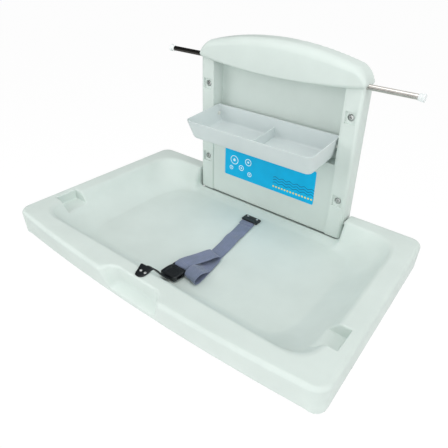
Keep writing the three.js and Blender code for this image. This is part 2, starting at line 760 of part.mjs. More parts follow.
function makeBackPanel() {
  const top = SKIRT_BOTTOM - SEAT_GAP;
  const bottom = SKIRT_BOTTOM - PANEL_DROP;
  const slopeMid = (PANEL_FLANGE_END + PANEL_SLOPE_END) / 2;
  const outer = loft(
    [
      { inset: PANEL_SLOPE_END, z: bottom },
      { inset: slopeMid, z: bottom + PANEL_DROP * 0.13 },
      { inset: PANEL_FLANGE_END, z: bottom + PANEL_DROP * 0.57 },
      { inset: PANEL_INSET, z: top - PANEL_FLANGE },
      { inset: PANEL_INSET, z: top },
    ].map(ringOf),
  );
  const inner = loft(
    [
      { inset: PANEL_SLOPE_END, z: bottom + PANEL_SKIN },
      { inset: slopeMid, z: bottom + PANEL_DROP * 0.13 + PANEL_SKIN },
      { inset: PANEL_FLANGE_END + PANEL_INSET, z: bottom + PANEL_DROP * 0.57 + PANEL_SKIN / 4 },
      { inset: PANEL_FLANGE_END, z: bottom + PANEL_DROP * 0.57 + PANEL_SKIN + 1 },
      { inset: PANEL_FLANGE_END, z: top + DEEP },
    ].map(ringOf),
  );
  const seats = panelScrewPlaces().map(([x, y]) =>
    rodZ(SCREW_HEAD_RADIUS + SEAT_GAP, -DEEP, top - PANEL_FLANGE, x, y),
  );
  const holes = panelScrewPlaces().map(([x, y]) => rodZ(SCREW_RADIUS + SCREW_CLEARANCE, -DEEP, DEEP, x, y));
  const notch = box(-notchHalf, notchHalf, notchFront, DEEP, -DEEP * 2, DEEP);
  return cut(outer, [inner, notch, ...seats, ...holes]);
}

function makePanelScrew([x, y]) {
  const seat = SKIRT_BOTTOM - SEAT_GAP - PANEL_FLANGE - TOUCH_GAP;
  const head = rodZ(SCREW_HEAD_RADIUS, seat - SCREW_HEAD_HEIGHT, seat, x, y);
  return head.add(rodZ(SCREW_RADIUS, seat - JOIN, SCREW_TOP, x, y));
}

// Tray, in its own axes about the pivot

function trayShare(z) {
  return (TRAY_RIM - z) / (TRAY_RIM - TRAY_BASE);
}

function trayHalf(z) {
  return trayHalfWidth - TRAY_END_DRAFT * trayShare(z);
}

function trayRing(wall, z) {
  const share = trayShare(z);
  return plan({
    half: trayHalf(z) - wall,
    rear: TRAY_REAR - wall,
    front: TRAY_FRONT + TRAY_FRONT_LEAN * share + wall,
    rearRadius: Math.max(TRAY_REAR_CORNER - wall, 2),
    frontRadius: TRAY_CORNER - Math.min(wall, TRAY_CORNER / 2),
    bow: 0,
    z,
  });
}

function trayBody(wall, base, top) {
  const round = TRAY_BASE_FILLET;
  const fillet = arc(round, base + round, round, 270, 180, FILLET_STEPS - 1);
  return loft([...fillet.map(([inward, z]) => trayRing(wall + inward, z)), trayRing(wall, top)]);
}

function makeTray() {
  const outer = trayBody(0, TRAY_BASE, TRAY_RIM);
  const cavity = trayBody(TRAY_WALL, TRAY_BASE + TRAY_WALL, TRAY_RIM + 1);
  const divider = box(
    -TRAY_WALL / 2,
    TRAY_WALL / 2,
    TRAY_FRONT * 2,
    TRAY_REAR * 2,
    TRAY_BASE,
    TRAY_BASE + TRAY_DIVIDER_RISE,
  );
  const holes = rodX(TRAY_PIN_RADIUS + RUNNING_GAP, -unitHalf, unitHalf, 0, 0, RUNNING_ROUND);
  return cut(outer, [cavity.subtract(divider), holesAtWalls(holes)]);
}

// Only the stretches of a cross bore near the two side walls
function holesAtWalls(bore) {
  return bore.subtract(box(-trayHalfWidth / 2, trayHalfWidth / 2, -DEEP, DEEP, -DEEP, DEEP));
}

function makeTrayPin(side) {
  const inside = trayHalf(-TRAY_PIN_HEAD_RADIUS) - TRAY_WALL - SEAT_GAP;
  const head = rodX(
    TRAY_PIN_HEAD_RADIUS,
    side * (inside - TRAY_PIN_HEAD),
    side * inside,
    TRAY_PIVOT_Y,
    TRAY_PIVOT_Z,
  );
  const shank = rodX(
    TRAY_PIN_RADIUS,
    side * (inside - JOIN),
    side * (columnInner + TRAY_PIN_SEAT),
    TRAY_PIVOT_Y,
    TRAY_PIVOT_Z,
    RUNNING_ROUND,
  );
  return head.add(shank);
}

// Strap: a ribbon with its own centre line and width direction at each station

function ribbon(stations, thickness) {
  const rings = stations.map(({ at, along, across, width }) => {
    const normal = new THREE.Vector3().crossVectors(across, along).normalize();
    const half = across.clone().multiplyScalar(width / 2);
    const rise = normal.multiplyScalar(thickness / 2);
    return [
      at.clone().sub(half).sub(rise),
      at.clone().sub(half).add(rise),
      at.clone().add(half).add(rise),
      at.clone().add(half).sub(rise),
    ];
  });
  return loft(rings);
}

function stationsOn(centres, acrosses, widths, steps) {
  const path = new THREE.CatmullRomCurve3(centres, false, "centripetal");
  const turn = new THREE.CatmullRomCurve3(acrosses, false, "centripetal");
  const size = new THREE.SplineCurve(widths.map((width, i) => new THREE.Vector2(i, width)));
  return Array.from({ length: steps + 1 }, (_, i) => {
    const t = i / steps;
    const along = path.getTangent(t);
    const across = turn.getPoint(t);
    across.addScaledVector(along, -across.dot(along)).normalize();
    return { at: path.getPoint(t), along, across, width: size.getPoint(t).y };
  });
}

const point = (x, y, z) => new THREE.Vector3(x, y, z);

function makeStrap() {
  const lie = FLOOR_TOP + STRAP_THICKNESS + SEAT_GAP;
  const barTop = FLOOR_TOP + SEAT_GAP + ANCHOR_HEIGHT + STRAP_THICKNESS;
  const barFront = ANCHOR_Y - ANCHOR_HALF_DEPTH;
  const slotY = ANCHOR_Y - (ANCHOR_SLOT_FRONT + ANCHOR_SLOT_REAR) / 2;
  const pitchY = Math.cos(BUCKLE_PITCH);
  const pitchZ = -Math.sin(BUCKLE_PITCH);
  const slotReach = SOCKET_HALF_LENGTH + SEAT_GAP + PLUG_SLOT_START + PLUG_SLOT_LENGTH / 2;
  const endY = buckleY + slotReach * pitchY;
  const endZ = BUCKLE_Z + slotReach * pitchZ;
  const straight = point(1, 0.1, 0);
  const turned = point(0.93, -0.36, 0);
  const level = point(1, 0, 0);
  const loopFront = endY - LOOP_REACH;
  const loopRear = loopFront + LOOP_LENGTH;
  const runStart = barFront - STRAP_WIDTH / 3;
  const onRun = (share) =>
    point(STRAP_DRIFT * (0.06 + 0.66 * share), THREE.MathUtils.lerp(runStart, loopRear, share), lie);
  const onLoop = (across, along, rise) =>
    point(STRAP_DRIFT * across, loopFront + LOOP_LENGTH * along, lie + LOOP_HEIGHT * rise);
  const onCrest = (across, back, rise) =>
    point(STRAP_DRIFT * across, endY + CREST_SETBACK * back, lie + CREST_HEIGHT * rise);
  const run = [
    [point(0, slotY, FLOOR_TOP + STRAP_THICKNESS), straight],
    [point(0, slotY - STRAP_THICKNESS / 2, barTop), straight],
    [point(0, barFront, barTop), straight],
    [onRun(0), straight],
    [onRun(0.33), straight],
    [onRun(0.66), straight],
    [onRun(0.92), straight],
  ];
  const openLoop = [
    [onLoop(0.9, 0.71, 0), straight],
    [onLoop(1, 0.3, 0.06), turned],
    [onLoop(1, 0.02, 0.3), turned],
    [onLoop(1, 0, 0.67), turned],
    [onLoop(1.02, 0.15, 1), turned],
    [onLoop(1.04, 0.42, 0.92), turned],
    [onLoop(1.07, 0.72, 0.46), turned],
    [onLoop(1.09, 1, 0.27), turned],
  ];
  const crest = [
    [onCrest(1.07, 1.52, 0.35), turned],
    [onCrest(1, 1.55, 0.6), turned],
    [onCrest(0.87, 1.3, 0.85), turned],
    [onCrest(0.6, 1, 1), turned],
    [onCrest(0.22, 0.62, 1.02), level],
    [onCrest(0.03, 0.32, 0.84), level],
    [point(0, endY + STRAP_THICKNESS, endZ + BAR_LIFT), level],
    [point(0, endY, endZ), level],
  ];
  const all = [...run, ...openLoop, ...crest];
  const stations = stationsOn(
    all.map(([at]) => at),
    all.map(([, across]) => across),
    all.map(() => STRAP_WIDTH),
    STRAP_STEPS,
  );
  return ribbon(stations, STRAP_THICKNESS);
}

function makeRearAnchor() {
  const low = FLOOR_TOP + SEAT_GAP;
  const high = low + ANCHOR_HEIGHT;
  const front = ANCHOR_Y - ANCHOR_HALF_DEPTH;
  const rear = ANCHOR_Y + ANCHOR_HALF_DEPTH;
  const block = box(-ANCHOR_HALF_WIDTH, ANCHOR_HALF_WIDTH, front, rear, low, high);
  const slot = box(
    -ANCHOR_SLOT_HALF,
    ANCHOR_SLOT_HALF,
    ANCHOR_Y - ANCHOR_SLOT_FRONT,
    ANCHOR_Y - ANCHOR_SLOT_REAR,
    low - 1,
    high + 1,
  );
  const holes = strapScrewPlaces().anchor.map(([x, y]) =>
    rodZ(SMALL_SCREW_RADIUS + SCREW_CLEARANCE, low - 1, high + 1, x, y),
  );
  return cut(block, [slot, ...holes]);
}

function makeSmallScrew([x, y, z], seat) {
  const head = rodZ(SMALL_HEAD_RADIUS, seat, seat + SMALL_HEAD_HEIGHT, x, y);
  return head.add(rodZ(SMALL_SCREW_RADIUS, z - SMALL_SCREW_DEPTH, seat + JOIN, x, y));
}

// Buckle, in its own axes: +Y points from the socket to the plug

function buckleFrame() {
  const frame = new THREE.Matrix4().makeRotationX(-BUCKLE_PITCH);
  return frame.setPosition(0, buckleY, BUCKLE_Z);
}

function placed(shape, matrix) {
  const data = shape.getMesh();
  const geometry = new THREE.BufferGeometry();
  geometry.setAttribute("position", new THREE.BufferAttribute(data.vertProperties, 3));
  geometry.setIndex(new THREE.BufferAttribute(data.triVerts, 1));
  geometry.applyMatrix4(matrix);
  return solid(geometry);
}

// Foot, head and rounded shoulder of the bowl's front wall, lifted off its skin
function frontWall(lift) {
  const count = FILLET_STEPS + 1;
  const section = skinProfile(-lift)
    .slice(-2 * count)
    .map(({ inset, z }) => point(0, BED_FRONT - BED_INNER_BOW + inset, z));
  return { foot: section[count], head: section[count - 1], shoulder: section[Math.floor(count / 2)] };
}

function makeSocket() {
  const half = BUCKLE_HALF_WIDTH;
  const end = SOCKET_HALF_LENGTH;
  const block = box(-half, half, -end, end, -BUCKLE_HALF_HEIGHT, BUCKLE_HALF_HEIGHT);
  const inner = half - SOCKET_WALL;
  const hollow = SOCKET_CAVITY_HALF_HEIGHT;
  const mouth = box(-inner, inner, -end + SOCKET_WALL, end + 1, -hollow, hollow);
  const windows = SIDES.map((side) =>
    sideBox(side, inner - 1, half + 1, SOCKET_WINDOW_FRONT, SOCKET_WINDOW_REAR, -hollow, hollow),
  );
  const body = placed(cut(block, [mouth, ...windows]), buckleFrame());
  const rimTop = RIM_TOP + SEAT_GAP + TAB_THICKNESS / 2;
  const wall = frontWall(SEAT_GAP + TAB_THICKNESS / 2 + TAB_LIFT);
  const onSlope = (share) => wall.foot.clone().lerp(wall.head, share);
  const reach = end - 2;
  const rootY = buckleY - reach * Math.cos(BUCKLE_PITCH);
  const rootZ = BUCKLE_Z + reach * Math.sin(BUCKLE_PITCH);
  const neck = TAB_NECK_WIDTH;
  const tab = stationsOn(
    [
      point(0, rootY, rootZ),
      onSlope(0.06),
      onSlope(0.35),
      onSlope(0.7),
      wall.head,
      wall.shoulder,
      point(0, tabScrewY + 8, rimTop),
      point(0, tabScrewY, rimTop),
      point(0, tabScrewY - 9, rimTop),
      point(0, tabScrewY - 13, rimTop),
    ],
    Array.from({ length: 10 }, () => point(1, 0, 0)),
    [neck, neck, neck, neck, neck, neck, TAB_WIDTH * 0.85, TAB_WIDTH, TAB_WIDTH, TAB_WIDTH * 0.7],
    TAB_STEPS,
  );
  const holes = strapScrewPlaces().tab.map(([x, y, z]) =>
    rodZ(SMALL_SCREW_RADIUS + SCREW_CLEARANCE, z - 1, z + 2 * TAB_THICKNESS, x, y),
  );
  return cut(body.add(ribbon(tab, TAB_THICKNESS)), holes);
}

function makePlug() {
  const start = SOCKET_HALF_LENGTH + SEAT_GAP;
  const high = PLUG_HALF_HEIGHT;
  const half = BUCKLE_HALF_WIDTH;
  const frame = box(-half, half, start, start + PLUG_LENGTH, -high, high);
  const slotHalf = STRAP_WIDTH / 2 + JOIN;
  const slotStart = start + PLUG_SLOT_START;
  const slot = box(-slotHalf, slotHalf, slotStart, slotStart + PLUG_SLOT_LENGTH, -high - 1, high + 1);
  const tongue = box(
    -TONGUE_HALF_WIDTH,
    TONGUE_HALF_WIDTH,
    start - TONGUE_LENGTH,
    start + 1,
    -TONGUE_HALF_HEIGHT,
    TONGUE_HALF_HEIGHT,
  );
  return cut(frame, [slot]).add(tongue);
}

function makeProng(side) {
  const root = SOCKET_HALF_LENGTH;
  const tip = root - PRONG_LENGTH;
  const outline = [
    [PRONG_INNER, root],
    [PRONG_INNER, tip + PRONG_HEAD / 2],
    [PRONG_INNER + 2, tip],
    [PRONG_OUTER, tip],
    [PRONG_HEAD_OUTER, tip + PRONG_HEAD / 2],
    [PRONG_HEAD_OUTER, tip + PRONG_HEAD],
    [PRONG_OUTER, tip + PRONG_HEAD],
    [PRONG_OUTER, root],
  ].map(([x, y]) => [side * x, y]);
  return prismZ(outline, -PRONG_HALF_HEIGHT, PRONG_HALF_HEIGHT);
}

// Assembly

const station = new THREE.Group();
station.name = "changing_station";

const wallUnit = new THREE.Group();
wallUnit.add(piece("back_shell", makeBackShell(), looks.body));
wallUnit.add(piece("crown_hood", makeHood(), looks.body));
const barSolid = rodX(BAR_RADIUS, -BAR_HALF_LENGTH, BAR_HALF_LENGTH, BAR_Y, BAR_Z);
wallUnit.add(piece("hanger_bar", barSolid, looks.steel));
boltPlaces().forEach((place, i) => {
  wallUnit.add(piece(`wall_bolt_${i + 1}`, makeBolt(place), looks.zinc));
  wallUnit.add(piece(`bolt_washer_${i + 1}`, makeWasher(place), looks.zinc));
});
wallUnit.add(piece("label_panel", makeLabel(), looks.label));

const bed = new THREE.Group();
bed.add(piece("bed_body", makeBedBody(), looks.body));
bed.add(piece("bed_back_panel", makeBackPanel(), looks.body));
panelScrewPlaces().forEach((place, i) => {
  bed.add(piece(`panel_screw_${i + 1}`, makePanelScrew(place), looks.zinc));
});
bed.add(piece("rear_anchor", makeRearAnchor(), looks.black));
bed.add(piece("strap_webbing", makeStrap(), looks.webbing));
bed.add(piece("buckle_socket", makeSocket(), looks.black));

const strapScrews = strapScrewPlaces();
const tabSeat = RIM_TOP + SEAT_GAP + TAB_THICKNESS + TOUCH_GAP;
const anchorSeat = FLOOR_TOP + SEAT_GAP + ANCHOR_HEIGHT + TOUCH_GAP;
strapScrews.tab.forEach((place, i) => {
  bed.add(piece(`socket_screw_${i + 1}`, makeSmallScrew(place, tabSeat), looks.zinc));
});
strapScrews.anchor.forEach((place, i) => {
  bed.add(piece(`rear_anchor_screw_${i + 1}`, makeSmallScrew(place, anchorSeat), looks.zinc));
});

for (const side of SIDES) {
  wallUnit.add(piece(`bar_cap_${sideName(side)}`, makeBarCap(side), looks.cap));
  wallUnit.add(piece(`hinge_pin_${sideName(side)}`, makeHingePin(side), looks.zinc));
  wallUnit.add(piece(`tray_pin_${sideName(side)}`, makeTrayPin(side), looks.nylon));
  bed.add(piece(`hinge_bush_${sideName(side)}`, makeBush(side), looks.nylon));
}

const tray = new THREE.Group();
tray.position.set(0, TRAY_PIVOT_Y, TRAY_PIVOT_Z);
tray.rotation.x = TRAY_TILT;
tray.add(piece("storage_tray", makeTray(), looks.tray));

const plug = new THREE.Group();
plug.applyMatrix4(buckleFrame());
plug.add(piece("buckle_plug", makePlug(), looks.black));
for (const side of SIDES) {
  plug.add(piece(`plug_prong_${sideName(side)}`, makeProng(side), looks.black));
}

station.add(wallUnit, bed, tray, plug);

export default station;
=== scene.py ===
"""Looks for a fold-down baby changing station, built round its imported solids."""

import math

import bmesh
import bpy
import numpy as np
from mathutils import Matrix, Vector


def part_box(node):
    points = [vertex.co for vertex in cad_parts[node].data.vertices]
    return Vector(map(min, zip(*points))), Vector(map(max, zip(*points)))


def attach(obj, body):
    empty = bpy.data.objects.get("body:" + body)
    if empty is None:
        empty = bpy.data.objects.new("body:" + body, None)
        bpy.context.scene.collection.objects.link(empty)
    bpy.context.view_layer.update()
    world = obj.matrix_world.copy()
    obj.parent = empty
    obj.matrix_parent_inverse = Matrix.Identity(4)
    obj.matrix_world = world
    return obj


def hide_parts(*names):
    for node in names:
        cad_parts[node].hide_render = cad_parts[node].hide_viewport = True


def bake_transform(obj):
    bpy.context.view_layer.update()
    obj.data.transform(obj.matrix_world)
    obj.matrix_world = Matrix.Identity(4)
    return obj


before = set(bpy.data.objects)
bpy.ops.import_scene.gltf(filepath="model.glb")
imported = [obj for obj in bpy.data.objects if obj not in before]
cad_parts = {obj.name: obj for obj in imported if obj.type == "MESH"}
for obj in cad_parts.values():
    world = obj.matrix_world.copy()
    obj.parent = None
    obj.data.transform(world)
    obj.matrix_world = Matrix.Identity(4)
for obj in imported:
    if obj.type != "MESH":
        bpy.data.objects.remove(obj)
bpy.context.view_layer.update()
scene = bpy.context.scene
scene.view_settings.view_transform = "Standard"


# Camera: stands to the right of the open station at a person's eye height and looks down
# on the bed. Its place comes from lines of the object that are square to each other.

PHOTO_SIDE = 448
FOCAL_PIXELS = 457.8
PRINCIPAL_POINT = (225.1, 189.8)
SENSOR_WIDTH = 36.0
VIEW_REACH = 200
CAMERA_PLACE = (0.590854, -0.998429, 0.673051)
CAMERA_RIGHT = (0.7862085, 0.6176068, 0.0209294)
CAMERA_UP = (-0.3112743, 0.3665372, 0.8767889)

lens = bpy.data.cameras.new("photo_camera")
lens.sensor_width = SENSOR_WIDTH
lens.lens = SENSOR_WIDTH * FOCAL_PIXELS / PHOTO_SIDE
lens.shift_x = (PHOTO_SIDE / 2 - PRINCIPAL_POINT[0]) / PHOTO_SIDE
lens.shift_y = (PRINCIPAL_POINT[1] - PHOTO_SIDE / 2) / PHOTO_SIDE
lens.clip_end = VIEW_REACH
camera = bpy.data.objects.new("photo_camera", lens)
scene.collection.objects.link(camera)
camera_back = Vector(CAMERA_RIGHT).cross(Vector(CAMERA_UP))
camera_axes = Matrix((CAMERA_RIGHT, CAMERA_UP, camera_back)).transposed()
camera.matrix_world = Matrix.Translation(CAMERA_PLACE) @ camera_axes.to_4x4()
scene.camera = camera


# Floor and light: a pale floor a usual mounting height below the bed, and soft studio lamps.
# Floor and backdrop look white to the camera, and dark at the left where polished metal shows them.

FLOOR_Z = -0.85
FLOOR_HALF = 30.0
FLOOR_WHITE = 0.9
FLOOR_GLOW_SHARE = 0.88
FLOOR_GLOW = 1.05
AMBIENT = 0.52
DARK_LEVEL = 0.02
DARK_SIDE = (-0.46, -0.34)
DARK_FLOOR = (-1.2, -0.8)
LAMPS = {
    "left": {"at": (-2.0, -2.4, 1.2), "size": 2.0, "power": 31},
    "right": {"at": (2.6, -0.7, 1.2), "size": 1.8, "power": 24},
    "top": {"at": (0.3, -0.8, 2.6), "size": 2.0, "power": 25},
    "low": {"at": (0.6, -2.6, 0.1), "size": 1.8, "power": 13},
}
LAMP_TARGET = Vector((0, -0.25, 0.1))


def add_node(tree, kind, given=(), **settings):
    """A node with its settings, its sockets given values or the outputs of other nodes."""
    made = tree.nodes.new(kind)
    for key, value in settings.items():
        setattr(made, key, value)
    for socket, value in dict(given).items():
        if isinstance(value, bpy.types.NodeSocket):
            tree.links.new(value, made.inputs[socket])
        else:
            made.inputs[socket].default_value = value
    return made


def worked(tree, operation, *values):
    given = dict(enumerate(values))
    return add_node(tree, "ShaderNodeMath", given, operation=operation).outputs[0]


def spread(tree, value, low, high, span=(0.3, 0.7)):
    """Maps a span of the value to the range from low to high."""
    given = {
        "Value": value, "From Min": span[0], "From Max": span[1], "To Min": low, "To Max": high,
    }
    return add_node(tree, "ShaderNodeMapRange", given).outputs["Result"]


def axes_of(tree, place):
    return add_node(tree, "ShaderNodeSeparateXYZ", {"Vector": place}).outputs


def new_material(name):
    material = bpy.data.materials.new(name)
    material.use_nodes = True
    return material, material.node_tree, material.node_tree.nodes["Principled BSDF"]


def new_piece(name, points, faces, material):
    mesh = bpy.data.meshes.new(name)
    mesh.from_pydata(np.asarray(points).tolist(), [], [tuple(face) for face in faces])
    mesh.validate()
    piece = bpy.data.objects.new(name, mesh)
    scene.collection.objects.link(piece)
    mesh.polygons.foreach_set("use_smooth", [True] * len(mesh.polygons))
    mesh.materials.append(material)
    return piece


def dark_to_left(tree, coordinate, span, level):
    """The level, but dark towards the left for rays off gloss, as in a room with a dark side."""
    where = add_node(tree, "ShaderNodeTexCoord").outputs[coordinate]
    side = spread(tree, axes_of(tree, where)["X"], DARK_LEVEL, level, span)
    glossy = add_node(tree, "ShaderNodeLightPath").outputs["Is Glossy Ray"]
    given = {"Factor": glossy, "A": level, "B": side}
    return add_node(tree, "ShaderNodeMix", given).outputs["Result"]


def lit_and_shown(tree, lit, shown, share, out_kind):
    """One shader to light the object, another for rays from the camera or off gloss."""
    path = add_node(tree, "ShaderNodeLightPath").outputs
    direct = worked(tree, "MAXIMUM", path["Is Camera Ray"], path["Is Glossy Ray"])
    given = {"Fac": worked(tree, "MULTIPLY", direct, share), 1: lit.outputs[0], 2: shown.outputs[0]}
    mix = add_node(tree, "ShaderNodeMixShader", given)
    add_node(tree, out_kind, {"Surface": mix.outputs[0]})


floor_paint, floor_tree, _ = new_material("floor_paint")
floor_tree.nodes.clear()
floor_lit = add_node(floor_tree, "ShaderNodeBsdfDiffuse", {"Color": (*[FLOOR_WHITE] * 3, 1)})
floor_level = dark_to_left(floor_tree, "Object", DARK_FLOOR, FLOOR_GLOW)
floor_shown = add_node(floor_tree, "ShaderNodeEmission", {"Strength": floor_level})
lit_and_shown(floor_tree, floor_lit, floor_shown, FLOOR_GLOW_SHARE, "ShaderNodeOutputMaterial")
floor_square = ((-1, -1), (1, -1), (1, 1), (-1, 1))
floor_corners = [(x * FLOOR_HALF, y * FLOOR_HALF, FLOOR_Z) for x, y in floor_square]
floor = new_piece("floor", floor_corners, [(0, 1, 2, 3)], floor_paint)

world = bpy.data.worlds.new("studio")
scene.world = world
world.use_nodes = True
world_tree = world.node_tree
world_tree.nodes.clear()
world_level = dark_to_left(world_tree, "Generated", DARK_SIDE, 1)
world_lit, world_shown = (
    add_node(world_tree, "ShaderNodeBackground", {"Color": (1, 1, 1, 1), "Strength": strength})
    for strength in (AMBIENT, world_level)
)
lit_and_shown(world_tree, world_lit, world_shown, 1, "ShaderNodeOutputWorld")

for lamp_name, lamp in LAMPS.items():
    glow = bpy.data.lights.new(lamp_name, "AREA")
    glow.energy = lamp["power"]
    glow.size = lamp["size"]
    stand = bpy.data.objects.new(lamp_name, glow)
    stand.location = lamp["at"]
    stand.visible_glossy = lamp_name != "left"
    towards = LAMP_TARGET - Vector(lamp["at"])
    stand.rotation_euler = towards.to_track_quat("-Z", "Y").to_euler()
    scene.collection.objects.link(stand)


# Bed: one rotationally moulded polyethylene tub with a soft rim all round. It has a notch for
# the wall unit, a finger scoop in the front edge and a small pocket in each side rim.

MM = 0.001
BED_HALF = 436
BED_TAPER = 15
BED_REAR = -2
BED_FRONT = -528
BED_BOW = 24
BOW_START = -266
BOW_REACH = 180
FOOT_BOW_LOSS = 0.25
BED_CORNER = 28
RIM_TOP = 59
RIM_INNER_HALF = 389
RIM_INNER_REAR = -46
RIM_INNER_FRONT = -491.5
RIM_EDGE = 9
RIM_SHOULDER = 5
BOWL_CORNER = 72
BOWL_SLOPE = math.radians(52)
REAR_STEEPER = 0.33
STEEPER_SPAN = (4, 90)
STEEPER_DEPTH = 70
BOWL_FLOOR = -6
BOWL_FILLET = (16, 48)
FILLET_SPAN = (250, 90)
SKIRT_BOTTOM = -5
SKIRT_DRAFT = 7
SIDE_DRAFT_LOSS = 0.6
SIDE_SPAN = (390, 40)
FLOOR_UNDERSIDE = -11
PANEL_STEP = 40
NOTCH_HALF = 237.5
NOTCH_FRONT = -45.4
NOTCH_EDGE = 1.4
OPENING_FRONT = -156.5
OPENING_BLEND = 12
SILL_DEPTH = 40
SILL_RISE = 6
SCOOP_HALF = 83
SCOOP_BACK = -524
SCOOP_LEDGE = 14
SCOOP_FALL = 0.45
SCOOP_CORNER = 30
SCOOP_FLARE = 0.3
SCOOP_LEAN = 0.3
SCOOP_UNDERCUT = 0.22
SCOOP_DEPTH = 48
SCOOP_EDGE = 6
POCKET_Y = -404
POCKET_HALF = 30
POCKET_INNER = 340
POCKET_OUTER = 409
POCKET_FLOOR = 31.5
POCKET_FOOT = 2.5
POCKET_EDGE = 2.8
SKIN_REACH = 0.2
SKIN_STEP = 1.5
LEAST_SLOPE = 0.2
NORMAL_REACH = 0.4


def round_and(a, b, radius):
    """What two fields share, its edge rounded."""
    edge_a = np.maximum(a + radius, 0)
    edge_b = np.maximum(b + radius, 0)
    return np.minimum(-radius, np.maximum(a, b)) + np.hypot(edge_a, edge_b)


def carve(solid, tool, radius):
    return round_and(solid, -tool, radius)


def rounded_box(u, v, half_u, half_v, radius):
    over_u = np.abs(u) - half_u + radius
    over_v = np.abs(v) - half_v + radius
    outside = np.hypot(np.maximum(over_u, 0), np.maximum(over_v, 0))
    return outside + np.minimum(np.maximum(over_u, over_v), 0) - radius


def soft_max(a, b, reach):
    near = np.maximum(reach - np.abs(a - b), 0) / reach
    return np.maximum(a, b) + near * near * reach / 4


def eased(share):
    share = np.clip(share, 0, 1)
    return share * share * (3 - 2 * share)


def past(distance, span):
    """Eased share of a span given by its start and its length."""
    return eased((distance - span[0]) / span[1])


def front_bow(wide, y):
    return BED_BOW * (1 - (wide / BED_HALF) ** 2) * np.clip((BOW_START - y) / BOW_REACH, 0, 1)


def bed_field(x, y, z):
    wide = x / (1 - BED_TAPER / BED_HALF * (y - BED_FRONT) / (BED_REAR - BED_FRONT))
    skirt = RIM_TOP - RIM_EDGE
    down = np.clip((skirt - z) / (skirt - SKIRT_BOTTOM), 0, 2)
    bow = front_bow(wide, y) * (1 - FOOT_BOW_LOSS * np.minimum(down, 1))
    plan_half = (BED_REAR - BED_FRONT) / 2
    plan_middle = (BED_REAR + BED_FRONT) / 2
    outline = rounded_box(wide, y + bow - plan_middle, BED_HALF, plan_half, BED_CORNER)
    draft = SKIRT_DRAFT * down * (1 - SIDE_DRAFT_LOSS * past(np.abs(wide), SIDE_SPAN))
    tub = round_and(outline + draft, z - RIM_TOP, RIM_EDGE)
    belly = np.maximum(FLOOR_UNDERSIDE - z, outline + PANEL_STEP)
    tub = np.maximum(tub, np.minimum(SKIRT_BOTTOM - z, belly))
    by_notch = 1 - past(np.abs(x) - NOTCH_HALF, STEEPER_SPAN)
    steeper = REAR_STEEPER * by_notch * np.clip(RIM_TOP - z, 0, STEEPER_DEPTH)
    along = np.maximum(y - RIM_INNER_REAR - steeper, RIM_INNER_FRONT - y)
    inner = soft_max(np.abs(wide) - RIM_INNER_HALF, along, BOWL_CORNER)
    wall = inner * math.sin(BOWL_SLOPE) - (z - RIM_TOP) * math.cos(BOWL_SLOPE)
    opening = np.maximum(np.abs(x) - NOTCH_HALF, OPENING_FRONT - y)
    floor_height = BOWL_FLOOR + SILL_RISE * eased((y - NOTCH_FRONT + SILL_DEPTH) / SILL_DEPTH)
    fillet = BOWL_FILLET[0] + (BOWL_FILLET[1] - BOWL_FILLET[0]) * past(np.abs(x), FILLET_SPAN)
    bowl = round_and(floor_height - z, -soft_max(-wall, -opening, OPENING_BLEND), fillet)
    tub = carve(tub, bowl, RIM_SHOULDER)
    notch = np.maximum(np.abs(x) - NOTCH_HALF, NOTCH_FRONT - y)
    tub = carve(tub, notch, NOTCH_EDGE)
    flare = SCOOP_FLARE * np.maximum(SCOOP_BACK - SCOOP_CORNER / 2 - y, 0)
    scoop_side = np.abs(x) - SCOOP_HALF - flare + SCOOP_LEAN * (RIM_TOP - z)
    scoop_back = y - SCOOP_BACK - SCOOP_UNDERCUT * np.clip(RIM_TOP - z, 0, SCOOP_DEPTH)
    scoop_plan = round_and(scoop_side, scoop_back, SCOOP_CORNER)
    ledge = SCOOP_LEDGE - SCOOP_FALL * (SCOOP_BACK - y)
    tub = carve(tub, round_and(scoop_plan, ledge - z, SCOOP_EDGE), SCOOP_EDGE)
    pocket_plan = np.maximum(np.abs(y - POCKET_Y) - POCKET_HALF, np.abs(x) - POCKET_OUTER)
    pocket_plan = np.maximum(pocket_plan, POCKET_INNER - np.abs(x))
    pocket = round_and(pocket_plan, POCKET_FLOOR - z, POCKET_FOOT)
    return carve(tub, pocket, POCKET_EDGE)


def lines(*spans):
    """Grid lines from runs of (start, end, step)."""
    runs = []
    for low, high, step in spans:
        runs.append(np.linspace(low, high, round((high - low) / step), endpoint=False))
    return np.append(np.concatenate(runs), spans[-1][1])


def both_sides(*spans):
    half = lines(*spans)
    return np.concatenate([-half[:0:-1], half])


def slope_of(field, points, reach):
    steps = np.eye(3) * reach
    sides = [field(*(points + s).T) - field(*(points - s).T) for s in steps]
    return np.stack(sides, 1) / (2 * reach)


